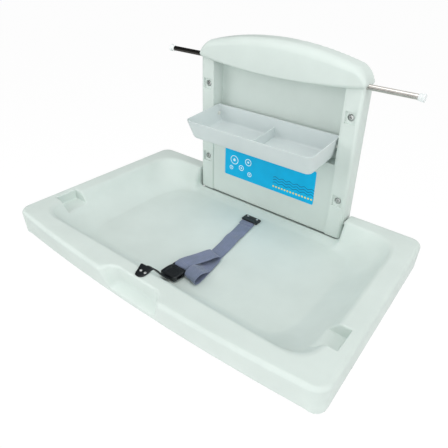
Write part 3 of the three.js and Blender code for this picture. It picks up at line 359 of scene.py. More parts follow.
def skin_of(field, grid):
    """Closed skin of a field in millimetres: one point in each cell it passes through."""
    value = field(*np.meshgrid(*grid, indexing="ij"))
    inside = value < 0
    cells = tuple(n - 1 for n in value.shape)
    size = int(np.prod(cells))
    total = np.zeros((size, 3))
    count = np.zeros(size)
    quads = []
    unit = np.eye(3, dtype=int)
    for axis in range(3):
        start = np.argwhere(np.diff(inside, axis=axis))
        end = start + unit[axis]
        first = value[tuple(start.T)]
        share = first / (first - value[tuple(end.T)])
        place = np.stack([grid[a][start[:, a]] for a in range(3)], 1)
        place[:, axis] += share * (grid[axis][end[:, axis]] - grid[axis][start[:, axis]])
        next_unit, last_unit = unit[(axis + 1) % 3], unit[(axis + 2) % 3]
        corners = []
        for step_next, step_last in ((-1, -1), (0, -1), (0, 0), (-1, 0)):
            cell = start + step_next * next_unit + step_last * last_unit
            flat = np.ravel_multi_index(tuple(cell.T), cells)
            corners.append(flat)
            count += np.bincount(flat, minlength=size)
            for a in range(3):
                total[:, a] += np.bincount(flat, weights=place[:, a], minlength=size)
        quad = np.stack(corners, 1)
        outward = inside[tuple(start.T)]
        quads.append(np.where(outward[:, None], quad, quad[:, ::-1]))
    used = np.flatnonzero(count)
    points = total[used] / count[used][:, None]
    number = np.zeros(size, int)
    number[used] = np.arange(len(used))
    for _ in range(2):
        slope = slope_of(field, points, SKIN_REACH)
        steepness = np.maximum((slope**2).sum(1), LEAST_SLOPE)[:, None]
        step = field(*points.T)[:, None] * slope / steepness
        points = points - np.clip(step, -SKIN_STEP, SKIN_STEP)
    return points, number[np.concatenate(quads)]


def moulded(name, field, grid, material, place=None):
    points, faces = skin_of(field, grid)
    normals = slope_of(field, points, NORMAL_REACH)
    normals /= np.maximum(np.linalg.norm(normals, axis=1), 1e-6)[:, None]
    points = points * MM
    if place is not None:
        turn = np.array(place)
        points = points @ turn[:3, :3].T + turn[:3, 3]
        normals = normals @ turn[:3, :3].T
    piece = new_piece(name, points, faces, material)
    piece.data.normals_split_custom_set_from_vertices(normals.tolist())
    return piece


def linear(red, green, blue):
    """A colour as written for a screen, in the values that light adds up in."""
    values = []
    for level in (red, green, blue):
        share = level / 255
        values.append(((share + 0.055) / 1.055) ** 2.4 if level > 10 else share / 12.92)
    return values + [1]


def noise(tree, scale, detail=3.0):
    where = add_node(tree, "ShaderNodeTexCoord").outputs["Object"]
    given = {"Vector": where, "Scale": scale, "Detail": detail, "Roughness": 0.55}
    return add_node(tree, "ShaderNodeTexNoise", given).outputs["Fac"]


def mixed(tree, share, first, second):
    given = {"Fac": share, "Color1": first, "Color2": second}
    return add_node(tree, "ShaderNodeMixRGB", given).outputs["Color"]


def bumped(tree, shader, height, strength, distance):
    given = {"Height": height, "Strength": strength, "Distance": distance}
    bump = add_node(tree, "ShaderNodeBump", given)
    tree.links.new(bump.outputs["Normal"], shader.inputs["Normal"])


def moulded_plastic(name, colour, second_colour, rough, peel_size=1.6, peel_depth=0.00012):
    """Plastic with a faint cloudiness in its colour, a patchy sheen and an orange-peel skin."""
    material, tree, shader = new_material(name)
    cloud = spread(tree, noise(tree, scale=9.0, detail=4.0), 0, 1)
    tint = mixed(tree, cloud, linear(*colour), linear(*second_colour))
    tree.links.new(tint, shader.inputs["Base Color"])
    sheen = spread(tree, noise(tree, scale=22.0, detail=5.0), rough - 0.07, rough + 0.07)
    tree.links.new(sheen, shader.inputs["Roughness"])
    shader.inputs["Specular IOR Level"].default_value = 0.42
    peel = noise(tree, scale=1.0 / (peel_size * MM), detail=2.0)
    bumped(tree, shader, peel, strength=0.35, distance=peel_depth)
    return material


body_plastic = moulded_plastic("body_plastic", (212, 223, 218), (205, 216, 211), rough=0.5)
bed_grid = (
    both_sides(
        (0, 48, 6), (48, 112, 3), (112, 228, 6), (228, 250, 2.2), (250, 336, 5), (336, 441, 2.8),
    ),
    lines(
        (-559, -486, 2.5), (-486, -442, 4), (-442, -366, 2.8), (-366, -172, 6.5),
        (-172, -100, 5), (-100, 3, 2.6),
    ),
    lines((-16, 0, 2.5), (0, 40, 3), (40, 64, 2)),
)
bed_body = moulded("bed_tub", bed_field, bed_grid, body_plastic)
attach(bed_body, "bed")
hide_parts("bed_body")


# Hood: a moulded arch on top of the two columns, pillowed at the front and open at the back,
# where it sits against the wall. The bar runs through it from end to end.

HOOD_HALF = 237
HOOD_BOTTOM = 380.6
HOOD_SWEEP = 13
HOOD_CREST = 468
HOOD_SHOULDER_X = 196
HOOD_SHOULDER_Z = 443
HOOD_DEPTH = 56
HOOD_BULGE = 4
HOOD_WALL = 7
HOOD_CORNER = 34
PILLOW = 3.5
PILLOW_MIDDLE = 410
PILLOW_HALF = 55
FRONT_EDGE = 8
FRONT_EDGE_GAIN = 14
FRONT_EDGE_SPAN = (400, 45)
FOOT_EDGE = 4
FOOT_EDGE_GAIN = 8
WALL_GAP = 0.4


def hood_field(x, y, z):
    rise = HOOD_CREST - HOOD_SHOULDER_Z
    arch_radius = (HOOD_SHOULDER_X**2 + rise**2) / (2 * rise)
    arch = np.hypot(x, z - HOOD_CREST + arch_radius) - arch_radius
    outline = round_and(arch, np.abs(x) - HOOD_HALF, HOOD_CORNER)
    pillow = PILLOW * ((z - PILLOW_MIDDLE) / PILLOW_HALF) ** 2
    out_share = (x / HOOD_HALF) ** 2
    front = -y - HOOD_DEPTH + HOOD_BULGE * out_share + pillow
    front_edge = FRONT_EDGE + FRONT_EDGE_GAIN * past(z, FRONT_EDGE_SPAN)
    outer = round_and(outline, front, front_edge)
    bottom = HOOD_BOTTOM + HOOD_SWEEP * out_share - z
    outer = round_and(outer, bottom, FOOT_EDGE + FOOT_EDGE_GAIN * out_share)
    return np.maximum(np.maximum(outer, y + WALL_GAP), -outer - HOOD_WALL)


hood_grid = (lines((-241, 241, 3.2)), lines((-60, 3, 2.4)), lines((377, 472, 2.6)))
hood = moulded("crown_hood_skin", hood_field, hood_grid, body_plastic)
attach(hood, "wall_unit")
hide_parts("crown_hood")


# Wall unit: an open-backed moulding of the same plastic, with two columns, the recess between
# them and the apron below. The columns run up into the hood, and a groove behind the bed's sill
# leaves a shadow gap between unit and bed.

SHELL_EDGE = 1.6
GROOVE_HEIGHTS = (-9.4, 0.8)
GROOVE_SLOPE = 0.4
GROOVE_BACK = -8
GROOVE_SHARE = 0.3
COLUMN_TOP = 379
COLUMN_RISE = 15


def settled(piece):
    """Leaves the piece as the plain mesh that its modifiers make."""
    graph = bpy.context.evaluated_depsgraph_get()
    mesh = bpy.data.meshes.new_from_object(piece.evaluated_get(graph))
    piece.modifiers.clear()
    piece.data = mesh
    mesh.name = piece.name


def edge_softened(piece, edge, segments, sharp):
    """Rounds the edges that are sharper than an angle in degrees."""
    bevel = piece.modifiers.new("edge", "BEVEL")
    bevel.width = edge * MM
    bevel.segments = segments
    bevel.limit_method = "ANGLE"
    bevel.angle_limit = math.radians(sharp)
    bevel.harden_normals = True
    settled(piece)


def softened(name, node, material, edge, shaping=None):
    """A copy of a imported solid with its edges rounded, as a new piece."""
    piece = bpy.data.objects.new(name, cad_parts[node].data.copy())
    scene.collection.objects.link(piece)
    piece.data.materials.clear()
    piece.data.materials.append(material)
    work = bmesh.new()
    work.from_mesh(piece.data)
    bmesh.ops.remove_doubles(work, verts=work.verts, dist=2e-6)
    flat = math.radians(0.4)
    bmesh.ops.dissolve_limit(work, angle_limit=flat, verts=work.verts, edges=work.edges)
    if shaping:
        shaping(work)
    for face in work.faces:
        face.smooth = True
        face.material_index = 0
    work.to_mesh(piece.data)
    work.free()
    edge_softened(piece, edge, segments=3, sharp=32)
    return piece


def groove_and_raise(work):
    low, high = GROOVE_HEIGHTS
    for edge in (low, high):
        for height in (edge - GROOVE_SLOPE, edge + GROOVE_SLOPE):
            everything = work.verts[:] + work.edges[:] + work.faces[:]
            level = (0, 0, height * MM)
            bmesh.ops.bisect_plane(work, geom=everything, plane_co=level, plane_no=(0, 0, 1))
    back = GROOVE_BACK * MM
    for corner in work.verts:
        if low * MM < corner.co.z < high * MM and corner.co.y < back:
            corner.co.y = back + GROOVE_SHARE * (corner.co.y - back)
        if corner.co.z > COLUMN_TOP * MM:
            corner.co.z += COLUMN_RISE * MM


shell = softened("wall_unit_shell", "back_shell", body_plastic, SHELL_EDGE, groove_and_raise)
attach(shell, "wall_unit")
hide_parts("back_shell")


# Tray: a thin injection moulded trough with leaning front, drafted ends and a low divider.
# It hangs on a pin at each end and folds up into the recess.

TRAY_PIVOT = (0, -32, 243)
TRAY_TILT = math.radians(4)
TRAY_HALF = 186
TRAY_RIM = 24
TRAY_BASE = -31
TRAY_REAR = 11
TRAY_FRONT = -133.5
TRAY_LEAN = 17
TRAY_END_DRAFT = 8
TRAY_CORNER = 15
TRAY_REAR_CORNER = 5
TRAY_WALL = 2.6
TRAY_FOOT = 7
TRAY_DIVIDER_TOP = -1
TRAY_EDGE = 0.9
LEAST_ROUND = (1.6, 5)


def arc_points(centre, radius, start, end, steps):
    angles = np.radians(np.linspace(start, end, steps + 1))
    return np.stack([centre[0] + radius * np.cos(angles), centre[1] + radius * np.sin(angles)], 1)


def tray_ring(inset, z):
    share = (TRAY_RIM - z) / (TRAY_RIM - TRAY_BASE)
    half = TRAY_HALF - TRAY_END_DRAFT * share - inset
    rear = TRAY_REAR - inset
    front = TRAY_FRONT + TRAY_LEAN * share + inset
    back_round = max(TRAY_REAR_CORNER - inset, LEAST_ROUND[0])
    front_round = max(TRAY_CORNER - inset, LEAST_ROUND[1])
    outline = np.concatenate([
        arc_points((half - back_round, rear - back_round), back_round, 0, 90, 8),
        arc_points((-half + back_round, rear - back_round), back_round, 90, 180, 8),
        arc_points((-half + front_round, front + front_round), front_round, 180, 270, 14),
        arc_points((half - front_round, front + front_round), front_round, 270, 360, 14),
    ])
    return np.column_stack([outline, np.full(len(outline), z)])


def skinned(rings):
    """Points and faces of a skin over rings of equal count, closed at both ends."""
    count = len(rings[0])
    faces = []
    for ring in range(len(rings) - 1):
        low = ring * count
        for i in range(count):
            j = (i + 1) % count
            faces.append((low + i, low + j, low + count + j, low + count + i))
    last = (len(rings) - 1) * count
    faces.append(tuple(range(count - 1, -1, -1)))
    faces.append(tuple(range(last, last + count)))
    return np.concatenate(rings), faces


def turned_about_x(points, angle, pivot):
    cosine, sine = math.cos(angle), math.sin(angle)
    turn = np.array([[1, 0, 0], [0, cosine, -sine], [0, sine, cosine]])
    return points @ turn.T + np.array(pivot)


def plate(outline, half):
    """A flat plate across the width, from its outline as (y, z) pairs."""
    return skinned([np.array([(x, y, z) for y, z in outline], float) for x in (-half, half)])


def joined(*parts):
    """Points and faces of several skins as one."""
    points, faces, start = [], [], 0
    for part_points, part_faces in parts:
        points.append(part_points)
        faces += [tuple(i + start for i in face) for face in part_faces]
        start += len(part_points)
    return np.concatenate(points), faces


tray_outer_foot = arc_points((0, TRAY_BASE + TRAY_FOOT), TRAY_FOOT, 270, 360, 6)
tray_outside = [tray_ring(TRAY_FOOT - r, z) for r, z in tray_outer_foot]
tray_heights = np.linspace(TRAY_BASE + TRAY_FOOT, TRAY_RIM, 6)[1:]
tray_outside += [tray_ring(0, z) for z in tray_heights]
tray_inside = [tray_ring(TRAY_WALL, z) for z in tray_heights[::-1]]
tray_inner_foot = arc_points((0, TRAY_BASE + TRAY_FOOT + TRAY_WALL), TRAY_FOOT, 360, 270, 6)
tray_inside += [tray_ring(TRAY_WALL + TRAY_FOOT - r, z) for r, z in tray_inner_foot]
tray_skin = skinned(tray_outside + tray_inside)
divider_lean = TRAY_LEAN * (TRAY_RIM - TRAY_DIVIDER_TOP) / (TRAY_RIM - TRAY_BASE)
divider_outline = (
    (TRAY_REAR - 1, TRAY_BASE + 1),
    (TRAY_REAR - 1, TRAY_DIVIDER_TOP),
    (TRAY_FRONT + divider_lean + 1.2, TRAY_DIVIDER_TOP),
    (TRAY_FRONT + TRAY_LEAN + 2, TRAY_BASE + TRAY_FOOT),
    (TRAY_FRONT + TRAY_LEAN + TRAY_FOOT, TRAY_BASE + 1),
)
tray_divider = plate(divider_outline, TRAY_WALL / 2)
tray_points, tray_faces = joined(tray_skin, tray_divider)
tray_points = turned_about_x(tray_points, TRAY_TILT, TRAY_PIVOT) * MM
tray_plastic = moulded_plastic(
    "tray_plastic", (214, 222, 222), (207, 216, 216), rough=0.44, peel_size=1.2, peel_depth=0.00008
)
tray = new_piece("storage_tray_skin", tray_points, tray_faces, tray_plastic)
edge_softened(tray, TRAY_EDGE, segments=2, sharp=35)
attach(tray, "tray")
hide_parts("storage_tray")


# Bar: a polished stainless tube through the hood that holds a roll of liner paper. A pale
# moulded cap with a flared lip is pushed onto each end.

BAR_RADIUS = 6.5
BAR_HALF = 354
BAR_CHAMFER = 0.6
BAR_Y = -31
BAR_Z = 397.5
CAP_START = 343
CAP_SLEEVE = 8.0
CAP_LIP = 9.5
CAP_END = 357
SCRATCH_SCALE = 900
WORN_SHADE = 0.93


def lathed(profile, count):
    """Skin of revolution about the height axis, from (height, radius) pairs."""
    angles = np.linspace(0, 2 * math.pi, count, endpoint=False)
    circle = np.stack([np.cos(angles), np.sin(angles)], 1)
    rings = [np.column_stack([circle * radius, np.full(count, up)]) for up, radius in profile]
    return skinned(rings)


def laid_along_x(points, side=1):
    """Turns the height axis to one side, so that a lathed piece lies along the bar."""
    return np.stack([points[:, 2] * side, points[:, 0] + BAR_Y, points[:, 1] * side + BAR_Z], 1)


def metal(name, colour, rough, streak):
    """Metal with fine scratches drawn along the width of the object and a patchy polish."""
    material, tree, shader = new_material(name)
    shader.inputs["Metallic"].default_value = 1
    where = add_node(tree, "ShaderNodeTexCoord").outputs["Object"]
    given = {"Vector": where, "Scale": (streak, 1, 1)}
    along = add_node(tree, "ShaderNodeMapping", given).outputs["Vector"]
    given = {"Vector": along, "Scale": SCRATCH_SCALE, "Detail": 3}
    scratch = add_node(tree, "ShaderNodeTexNoise", given).outputs["Fac"]
    patches = spread(tree, noise(tree, scale=60.0), 0, 1)
    tint = mixed(tree, patches, linear(*colour), linear(*[c * WORN_SHADE for c in colour]))
    tree.links.new(tint, shader.inputs["Base Color"])
    polish = spread(tree, scratch, rough - 0.05, rough + 0.07)
    tree.links.new(polish, shader.inputs["Roughness"])
    bumped(tree, shader, scratch, strength=0.12, distance=0.00003)
    return material


steel = metal("bright_steel", (200, 197, 192), rough=0.11, streak=0.03)
bar_profile = [
    (-BAR_HALF, BAR_RADIUS - BAR_CHAMFER),
    (-BAR_HALF + BAR_CHAMFER, BAR_RADIUS),
    (-BAR_HALF + 2, BAR_RADIUS),
]
bar_profile += [(x, BAR_RADIUS) for x in np.linspace(-BAR_HALF + 20, BAR_HALF - 20, 15)]
bar_profile += [(-x, r) for x, r in bar_profile[2::-1]]
bar_points, bar_faces = lathed(bar_profile, count=64)
bar = new_piece("hanger_bar_tube", laid_along_x(bar_points) * MM, bar_faces, steel)
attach(bar, "wall_unit")
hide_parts("hanger_bar")

cap_plastic = moulded_plastic(
    "cap_plastic", (236, 240, 240), (226, 232, 232), rough=0.3, peel_size=0.8, peel_depth=0.00004
)
cap_profile = [
    (CAP_START, BAR_RADIUS - 0.4),
    (CAP_START, CAP_SLEEVE - 0.5),
    (CAP_START + 0.5, CAP_SLEEVE),
    (CAP_START + 7, CAP_SLEEVE + 0.1),
    (CAP_END - 4.6, CAP_SLEEVE + 0.5),
    (CAP_END - 3.2, CAP_LIP - 0.2),
    (CAP_END - 2.2, CAP_LIP),
    (CAP_END - 0.9, CAP_LIP - 0.1),
    (CAP_END - 0.2, CAP_LIP - 0.7),
    (CAP_END, CAP_LIP - 1.6),
    (CAP_END - 0.2, CAP_LIP - 3),
    (CAP_END - 0.9, CAP_LIP - 4.5),
]
for side, cap_name in ((-1, "bar_cap_left"), (1, "bar_cap_right")):
    cap_points, cap_faces = lathed(cap_profile, count=48)
    cap_points = laid_along_x(cap_points, side) * MM
    cap = new_piece(cap_name + "_skin", cap_points, cap_faces, cap_plastic)
    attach(cap, "wall_unit")
    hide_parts(cap_name)


# Screws and bolts: zinc plated steel with domed heads and cross recesses. Four bolts with
# washers hold the unit to the wall; smaller screws hold the bed's panel and the strap fittings.

BOLT_HEAD = (6.5, 5.0)
WASHER = (8.4, 1.6)
PANEL_HEAD = (3.8, 2.0)
STRAP_HEAD = (3.2, 1.6)
SPIN_SEED = 7
DOME_FALL = 0.16
HEAD_EDGE = 0.28
HEAD_CELLS = 17
RECESS_HALF = 0.13
RECESS_REACH = 0.52
RECESS_TAPER = (0.12, 0.25)
RECESS_FLOOR = 0.42
RECESS_EDGE = 0.03
WASHER_GAP = 0.1
WASHER_EDGE = 0.35

zinc = metal("zinc_steel", (216, 218, 217), rough=0.44, streak=1.0)


def screw_field(radius, height, washer=None):
    """Domed head with a tapered cross recess, on a washer where one is given."""

    def field(x, y, z):
        out = np.hypot(x, y)
        dome = z - height + DOME_FALL * out * out / radius
        head = np.maximum(round_and(out - radius, dome, height * HEAD_EDGE), -z)
        slot_half = radius * RECESS_HALF + RECESS_TAPER[0] * (z - height)
        reach = radius * RECESS_REACH + RECESS_TAPER[1] * (z - height)
        first = np.maximum(np.abs(x) - slot_half, np.abs(y) - reach)
        second = np.maximum(np.abs(y) - slot_half, np.abs(x) - reach)
        recess = np.maximum(np.minimum(first, second), height * RECESS_FLOOR - z)
        head = carve(head, recess, radius * RECESS_EDGE)
        if washer is None:
            return head
        half = washer[1] / 2
        disc = round_and(out - washer[0], np.abs(z + half + WASHER_GAP) - half, WASHER_EDGE)
        return np.minimum(head, disc)

    return field


def copies_of(name, prototype, places, facing, material, spin_range, seed):
    """One mesh with the prototype at every place, each copy turned by chance about its axis."""
    points = bpy.data.meshes.new(name)
    points.from_pydata(places, [], [])
    piece = bpy.data.objects.new(name, points)
    scene.collection.objects.link(piece)
    tree = bpy.data.node_groups.new(name, "GeometryNodeTree")
    sockets = {}
    for label, kind in (
        ("Places", "Geometry"), ("Part", "Object"), ("Facing", "Vector"),
        ("Spin range", "Float"), ("Spin seed", "Int"), ("Finish", "Material"),
    ):
        sockets[label] = tree.interface.new_socket(
            label, in_out="INPUT", socket_type="NodeSocket" + kind
        )
    tree.interface.new_socket("Copies", in_out="OUTPUT", socket_type="NodeSocketGeometry")
    given = add_node(tree, "NodeGroupInput").outputs
    part = add_node(tree, "GeometryNodeObjectInfo", {"Object": given["Part"]})
    upright = {"Vector": given["Facing"]}
    align = add_node(tree, "FunctionNodeAlignRotationToVector", upright, axis="Z")
    draw = {3: given["Spin range"], "Seed": given["Spin seed"]}
    chance = add_node(tree, "FunctionNodeRandomValue", draw, data_type="FLOAT")
    about = {"Axis": (0, 0, 1), "Angle": chance.outputs[1]}
    spin = add_node(tree, "FunctionNodeAxisAngleToRotation", about)
    turns = {"Rotation": align.outputs["Rotation"], "Rotate By": spin.outputs["Rotation"]}
    turn = add_node(tree, "FunctionNodeRotateRotation", turns, rotation_space="LOCAL")
    put = {
        "Points": given["Places"], "Instance": part.outputs["Geometry"],
        "Rotation": turn.outputs["Rotation"],
    }
    place = add_node(tree, "GeometryNodeInstanceOnPoints", put)
    real = add_node(tree, "GeometryNodeRealizeInstances", {"Geometry": place.outputs["Instances"]})
    coat = {"Geometry": real.outputs["Geometry"], "Material": given["Finish"]}
    finish = add_node(tree, "GeometryNodeSetMaterial", coat)
    add_node(tree, "NodeGroupOutput", {"Copies": finish.outputs["Geometry"]})
    copier = piece.modifiers.new("copies", "NODES")
    copier.node_group = tree
    for label, value in (
        ("Part", prototype), ("Facing", facing), ("Spin range", spin_range),
        ("Spin seed", seed), ("Finish", material),
    ):
        copier[sockets[label].identifier] = value
    settled(piece)
    bpy.data.objects.remove(prototype)
    return piece


def screw_heads(name, nodes, size, facing, body, washer=None):
    """Heads in place of screw nodes, each with its outer face where the node's is."""
    radius, height = size
    reach = (washer[0] if washer else radius) + 1
    low = -(washer[1] if washer else 0) - 1
    fine = radius / HEAD_CELLS
    grid = (lines((-reach, reach, fine)),) * 2 + (lines((low, height + 1, fine)),)
    prototype = moulded(name + "_one", screw_field(radius, height, washer), grid, zinc)
    outward = Vector(facing)
    places = []
    for node in nodes:
        low_corner, high_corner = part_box(node)
        middle = (low_corner + high_corner) / 2
        half = (high_corner - low_corner) / 2
        face = middle + Vector([h * o for h, o in zip(half, outward)])
        places.append(face - outward * height * MM)
    piece = copies_of(name, prototype, places, facing, zinc, 2 * math.pi, SPIN_SEED)
    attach(piece, body)
    return piece


bolt_nodes = [f"wall_bolt_{i}" for i in range(1, 5)]
bolts = screw_heads("wall_bolt_heads", bolt_nodes, BOLT_HEAD, (0, -1, 0), "wall_unit", WASHER)
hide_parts(*bolt_nodes, *[f"bolt_washer_{i}" for i in range(1, 5)])
panel_nodes = [f"panel_screw_{i}" for i in range(1, 9)]
panel_screws = screw_heads("panel_screw_heads", panel_nodes, PANEL_HEAD, (0, 0, -1), "bed")
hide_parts(*panel_nodes)
strap_nodes = ["rear_anchor_screw_1", "rear_anchor_screw_2", "socket_screw_1", "socket_screw_2"]
strap_screws = screw_heads("strap_screw_heads", strap_nodes, STRAP_HEAD, (0, 0, 1), "bed")
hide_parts(*strap_nodes)


# Hinges: plated steel pins in natural nylon bushes carry the bed, and nylon pins carry the tray.
# The pins are turned, the bushes moulded and pressed in, so they are plain round shapes.

nylon = moulded_plastic(
    "nylon", (226, 229, 224), (217, 220, 214), rough=0.42, peel_size=0.9, peel_depth=0.00005
)
for node, material in (
    ("hinge_pin_left", zinc), ("hinge_pin_right", zinc), ("hinge_bush_left", nylon),
    ("hinge_bush_right", nylon), ("tray_pin_left", nylon), ("tray_pin_right", nylon),
):
    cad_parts[node].material_slots[0].material = material


# Underside: a thin moulded panel that closes the hollow of the bed, dished in the middle and
# held under the skirt by screws.

PANEL_EDGE = 2.4


def flatten_bow(work):
    for corner in work.verts:
        corner.co.y += FOOT_BOW_LOSS * front_bow(corner.co.x / MM, corner.co.y / MM) * MM


panel = softened("underside_panel", "bed_back_panel", body_plastic, PANEL_EDGE, flatten_bow)
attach(panel, "bed")
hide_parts("bed_back_panel")


# Label: a printed panel of glossy film with a faint grain, stuck on the apron. On a blue ground
# bubbles rise at its left, and at its right wave lines run over a row of dots.

LABEL_BLUE = (0, 184, 236)
LABEL_SHADE = (0, 176, 228)
LABEL_PALE = (214, 244, 252)
LABEL_DEEP = (16, 74, 128)
LABEL_YELLOW = (252, 226, 92)
LABEL_FOOT = 0.069
WAVE_LENGTH = 0.022
WAVE_HEIGHT = 0.002
WAVE_LINES = (0.026, 0.034, 0.042)
WAVE_START = 0.02
WAVE_HALF = 0.0008
DOT_PITCH = 0.018
DOT_HEIGHT = 0.014
DOT_RADIUS = DOT_PITCH / 7
BUBBLE_HALF = 0.0011
BUBBLE_SHINE = 0.35
BUBBLES = (
    (-0.112, 0.052, 0.0125), (-0.087, 0.034, 0.0075), (-0.122, 0.026, 0.0055),
    (-0.064, 0.058, 0.0095), (-0.058, 0.022, 0.006),
)


def label_print():
    material, tree, shader = new_material("label_print")
    axes = axes_of(tree, add_node(tree, "ShaderNodeTexCoord").outputs["Object"])
    x = axes["X"]
    height = worked(tree, "SUBTRACT", axes["Z"], LABEL_FOOT)

    def away_from(across, up):
        squares = worked(tree, "POWER", across, 2), worked(tree, "POWER", up, 2)
        return worked(tree, "SQRT", worked(tree, "ADD", *squares))

    patches = spread(tree, noise(tree, scale=30.0), 0, 1)
    colour = mixed(tree, patches, linear(*LABEL_BLUE), linear(*LABEL_SHADE))
    turn = worked(tree, "MULTIPLY", x, 2 * math.pi / WAVE_LENGTH)
    swell = worked(tree, "MULTIPLY", worked(tree, "SINE", turn), WAVE_HEIGHT)
    at_right = worked(tree, "GREATER_THAN", x, WAVE_START)
    for line in WAVE_LINES:
        over_line = worked(tree, "SUBTRACT", height, line)
        off_line = worked(tree, "ABSOLUTE", worked(tree, "SUBTRACT", over_line, swell))
        on_line = worked(tree, "LESS_THAN", off_line, WAVE_HALF)
        on_line = worked(tree, "MULTIPLY", on_line, at_right)
        colour = mixed(tree, on_line, colour, linear(*LABEL_DEEP))
    step = worked(tree, "SUBTRACT", worked(tree, "PINGPONG", x, DOT_PITCH / 2), DOT_PITCH / 4)
    away = away_from(step, worked(tree, "SUBTRACT", height, DOT_HEIGHT))
    dot = worked(tree, "MULTIPLY", worked(tree, "LESS_THAN", away, DOT_RADIUS), at_right)
    colour = mixed(tree, dot, colour, linear(*LABEL_YELLOW))
    for across, up, radius in BUBBLES:
        aside = worked(tree, "SUBTRACT", x, across)
        away = away_from(aside, worked(tree, "SUBTRACT", height, up))
        off_rim = worked(tree, "ABSOLUTE", worked(tree, "SUBTRACT", away, radius))
        rim = worked(tree, "LESS_THAN", off_rim, BUBBLE_HALF)
        shine = worked(tree, "LESS_THAN", away, radius * BUBBLE_SHINE)
        colour = mixed(tree, worked(tree, "MAXIMUM", rim, shine), colour, linear(*LABEL_PALE))
    tree.links.new(colour, shader.inputs["Base Color"])
    gloss = spread(tree, noise(tree, scale=90.0), 0.38, 0.46)
    tree.links.new(gloss, shader.inputs["Roughness"])
    shader.inputs["Specular IOR Level"].default_value = 0.25
    bumped(tree, shader, noise(tree, scale=700.0), strength=0.05, distance=0.00002)
    return material


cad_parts["label_panel"].material_slots[0].material = label_print()


# Strap fittings: black acetal mouldings. The rear anchor is screwed to the bed's floor, and
# the buckle's socket hangs on a tab that is screwed to the rim.

ANCHOR_MIDDLE = -106
ANCHOR_HALF = (25, 12)
ANCHOR_HEIGHTS = (-5.7, -0.7)
ANCHOR_SLOT = (-108.6, 20, 2.6)
BRIDGE_MIDDLE = -117
BRIDGE_HALF = (22, 6.2)
BRIDGE_HEIGHTS = (-1.5, 2.6)
BUCKLE_PLACE = (0, -416, 4.5)
BUCKLE_PITCH = math.radians(-4)
SOCKET_HALF = (23, 19, 6)
SOCKET_CAVITY = (18, 14, 3.6)
SOCKET_WINDOW = (13, 7.5)
WINDOW_MIDDLE = -1.5
SOCKET_WAIST = 1.6
SOCKET_CORNER = 4
SOCKET_EDGE = 2.2
SOCKET_MOUTH_EDGE = 0.7
DISH_MIDDLE = -2
DISH_HALF = (13, 10)
DISH_FLOOR = 5.2
RIBS = (11, 14, 17)
RIB_HALF = (15, 0.5)
RIB_FLOOR = 5.3
PLUG_START = 19.3
PLUG_LENGTH = 18
PLUG_HALF_HEIGHT = 4.5
PLUG_SLOT = (6.4, 20, 3.2)
TONGUE_HALF = (5, 2.4)
TONGUE_TIP = -6.7
TONGUE_ROOT = 22
PRONG_EDGE = 0.6
TAB_THICKNESS = 2.2
TAB_EDGES = (
    (0, -4.5, 3), (1.2, -8, 6.6), (3, -10, 9), (6, -11.6, 11), (12, -14, 12.4), (20, -18, 12.2),
    (31, -23.6, 10.6), (33.4, -24.6, 10.2), (34.6, -23, 10), (35.4, -11, 10), (40, -10, 10),
    (90, -11, 11),
)
TAB_ROUTE = (
    (-519, 60.5), (-508, 60.5), (-497, 60.5), (-487, 60.3), (-481, 58.6), (-475, 53.8), (-468, 45),
    (-459, 31.5), (-450, 18.5), (-443, 10), (-436, 6.4), (-430, 5.4),
)

black = moulded_plastic(
    "black_plastic", (30, 34, 37), (23, 26, 29), rough=0.33, peel_size=0.7, peel_depth=0.00006
)


def slab(plan, z, heights, radius):
    middle, half = sum(heights) / 2, (heights[1] - heights[0]) / 2
    return round_and(plan, np.abs(z - middle) - half, radius)


def anchor_field(x, y, z):
    plan = rounded_box(x, y - ANCHOR_MIDDLE, *ANCHOR_HALF, radius=4)
    base = slab(plan, z, ANCHOR_HEIGHTS, radius=1)
    tunnel = np.maximum(np.abs(x) - ANCHOR_SLOT[1], y - ANCHOR_SLOT[0])
    base = carve(base, np.maximum(tunnel, z - BRIDGE_HEIGHTS[0]), radius=0.4)
    plan = rounded_box(x, y - BRIDGE_MIDDLE, *BRIDGE_HALF, radius=3)
    bridge = slab(plan, z, BRIDGE_HEIGHTS, radius=1.3)
    slot = rounded_box(x, y - ANCHOR_SLOT[0], *ANCHOR_SLOT[1:], radius=1.5)
    return carve(-soft_max(-base, -bridge, reach=1.5), slot, radius=0.6)


anchor_grid = (lines((-26, 26, 0.7)), lines((-125, -92, 0.6)), lines((-7, 4, 0.5)))
anchor = moulded("rear_anchor_skin", anchor_field, anchor_grid, black)
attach(anchor, "bed")
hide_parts("rear_anchor")

buckle_matrix = Matrix.Translation(Vector(BUCKLE_PLACE) * MM)
buckle_matrix = buckle_matrix @ Matrix.Rotation(BUCKLE_PITCH, 4, "X")


def socket_field(x, y, z):
    waist = SOCKET_WAIST * (y / SOCKET_HALF[1]) ** 2
    plan = round_and(
        np.abs(x) - SOCKET_HALF[0] + waist, np.abs(y) - SOCKET_HALF[1], SOCKET_CORNER
    )
    body = round_and(plan, np.abs(z) - SOCKET_HALF[2], SOCKET_EDGE)
    dish = rounded_box(x, y - DISH_MIDDLE, *DISH_HALF, radius=4)
    body = carve(body, np.maximum(dish, DISH_FLOOR - z), radius=0.5)
    for rib in RIBS:
        groove = np.maximum(np.abs(y - rib) - RIB_HALF[1], np.abs(x) - RIB_HALF[0])
        body = carve(body, np.maximum(groove, RIB_FLOOR - z), radius=0.3)
    inside_height = np.abs(z) - SOCKET_CAVITY[2]
    mouth = np.maximum(np.abs(x) - SOCKET_CAVITY[0], -y - SOCKET_CAVITY[1])
    body = carve(body, np.maximum(mouth, inside_height), SOCKET_MOUTH_EDGE)
    window_along = np.abs(y - WINDOW_MIDDLE) - SOCKET_WINDOW[1]
    window = np.maximum(SOCKET_WINDOW[0] - np.abs(x), window_along)
    return carve(body, np.maximum(window, inside_height), SOCKET_MOUTH_EDGE)


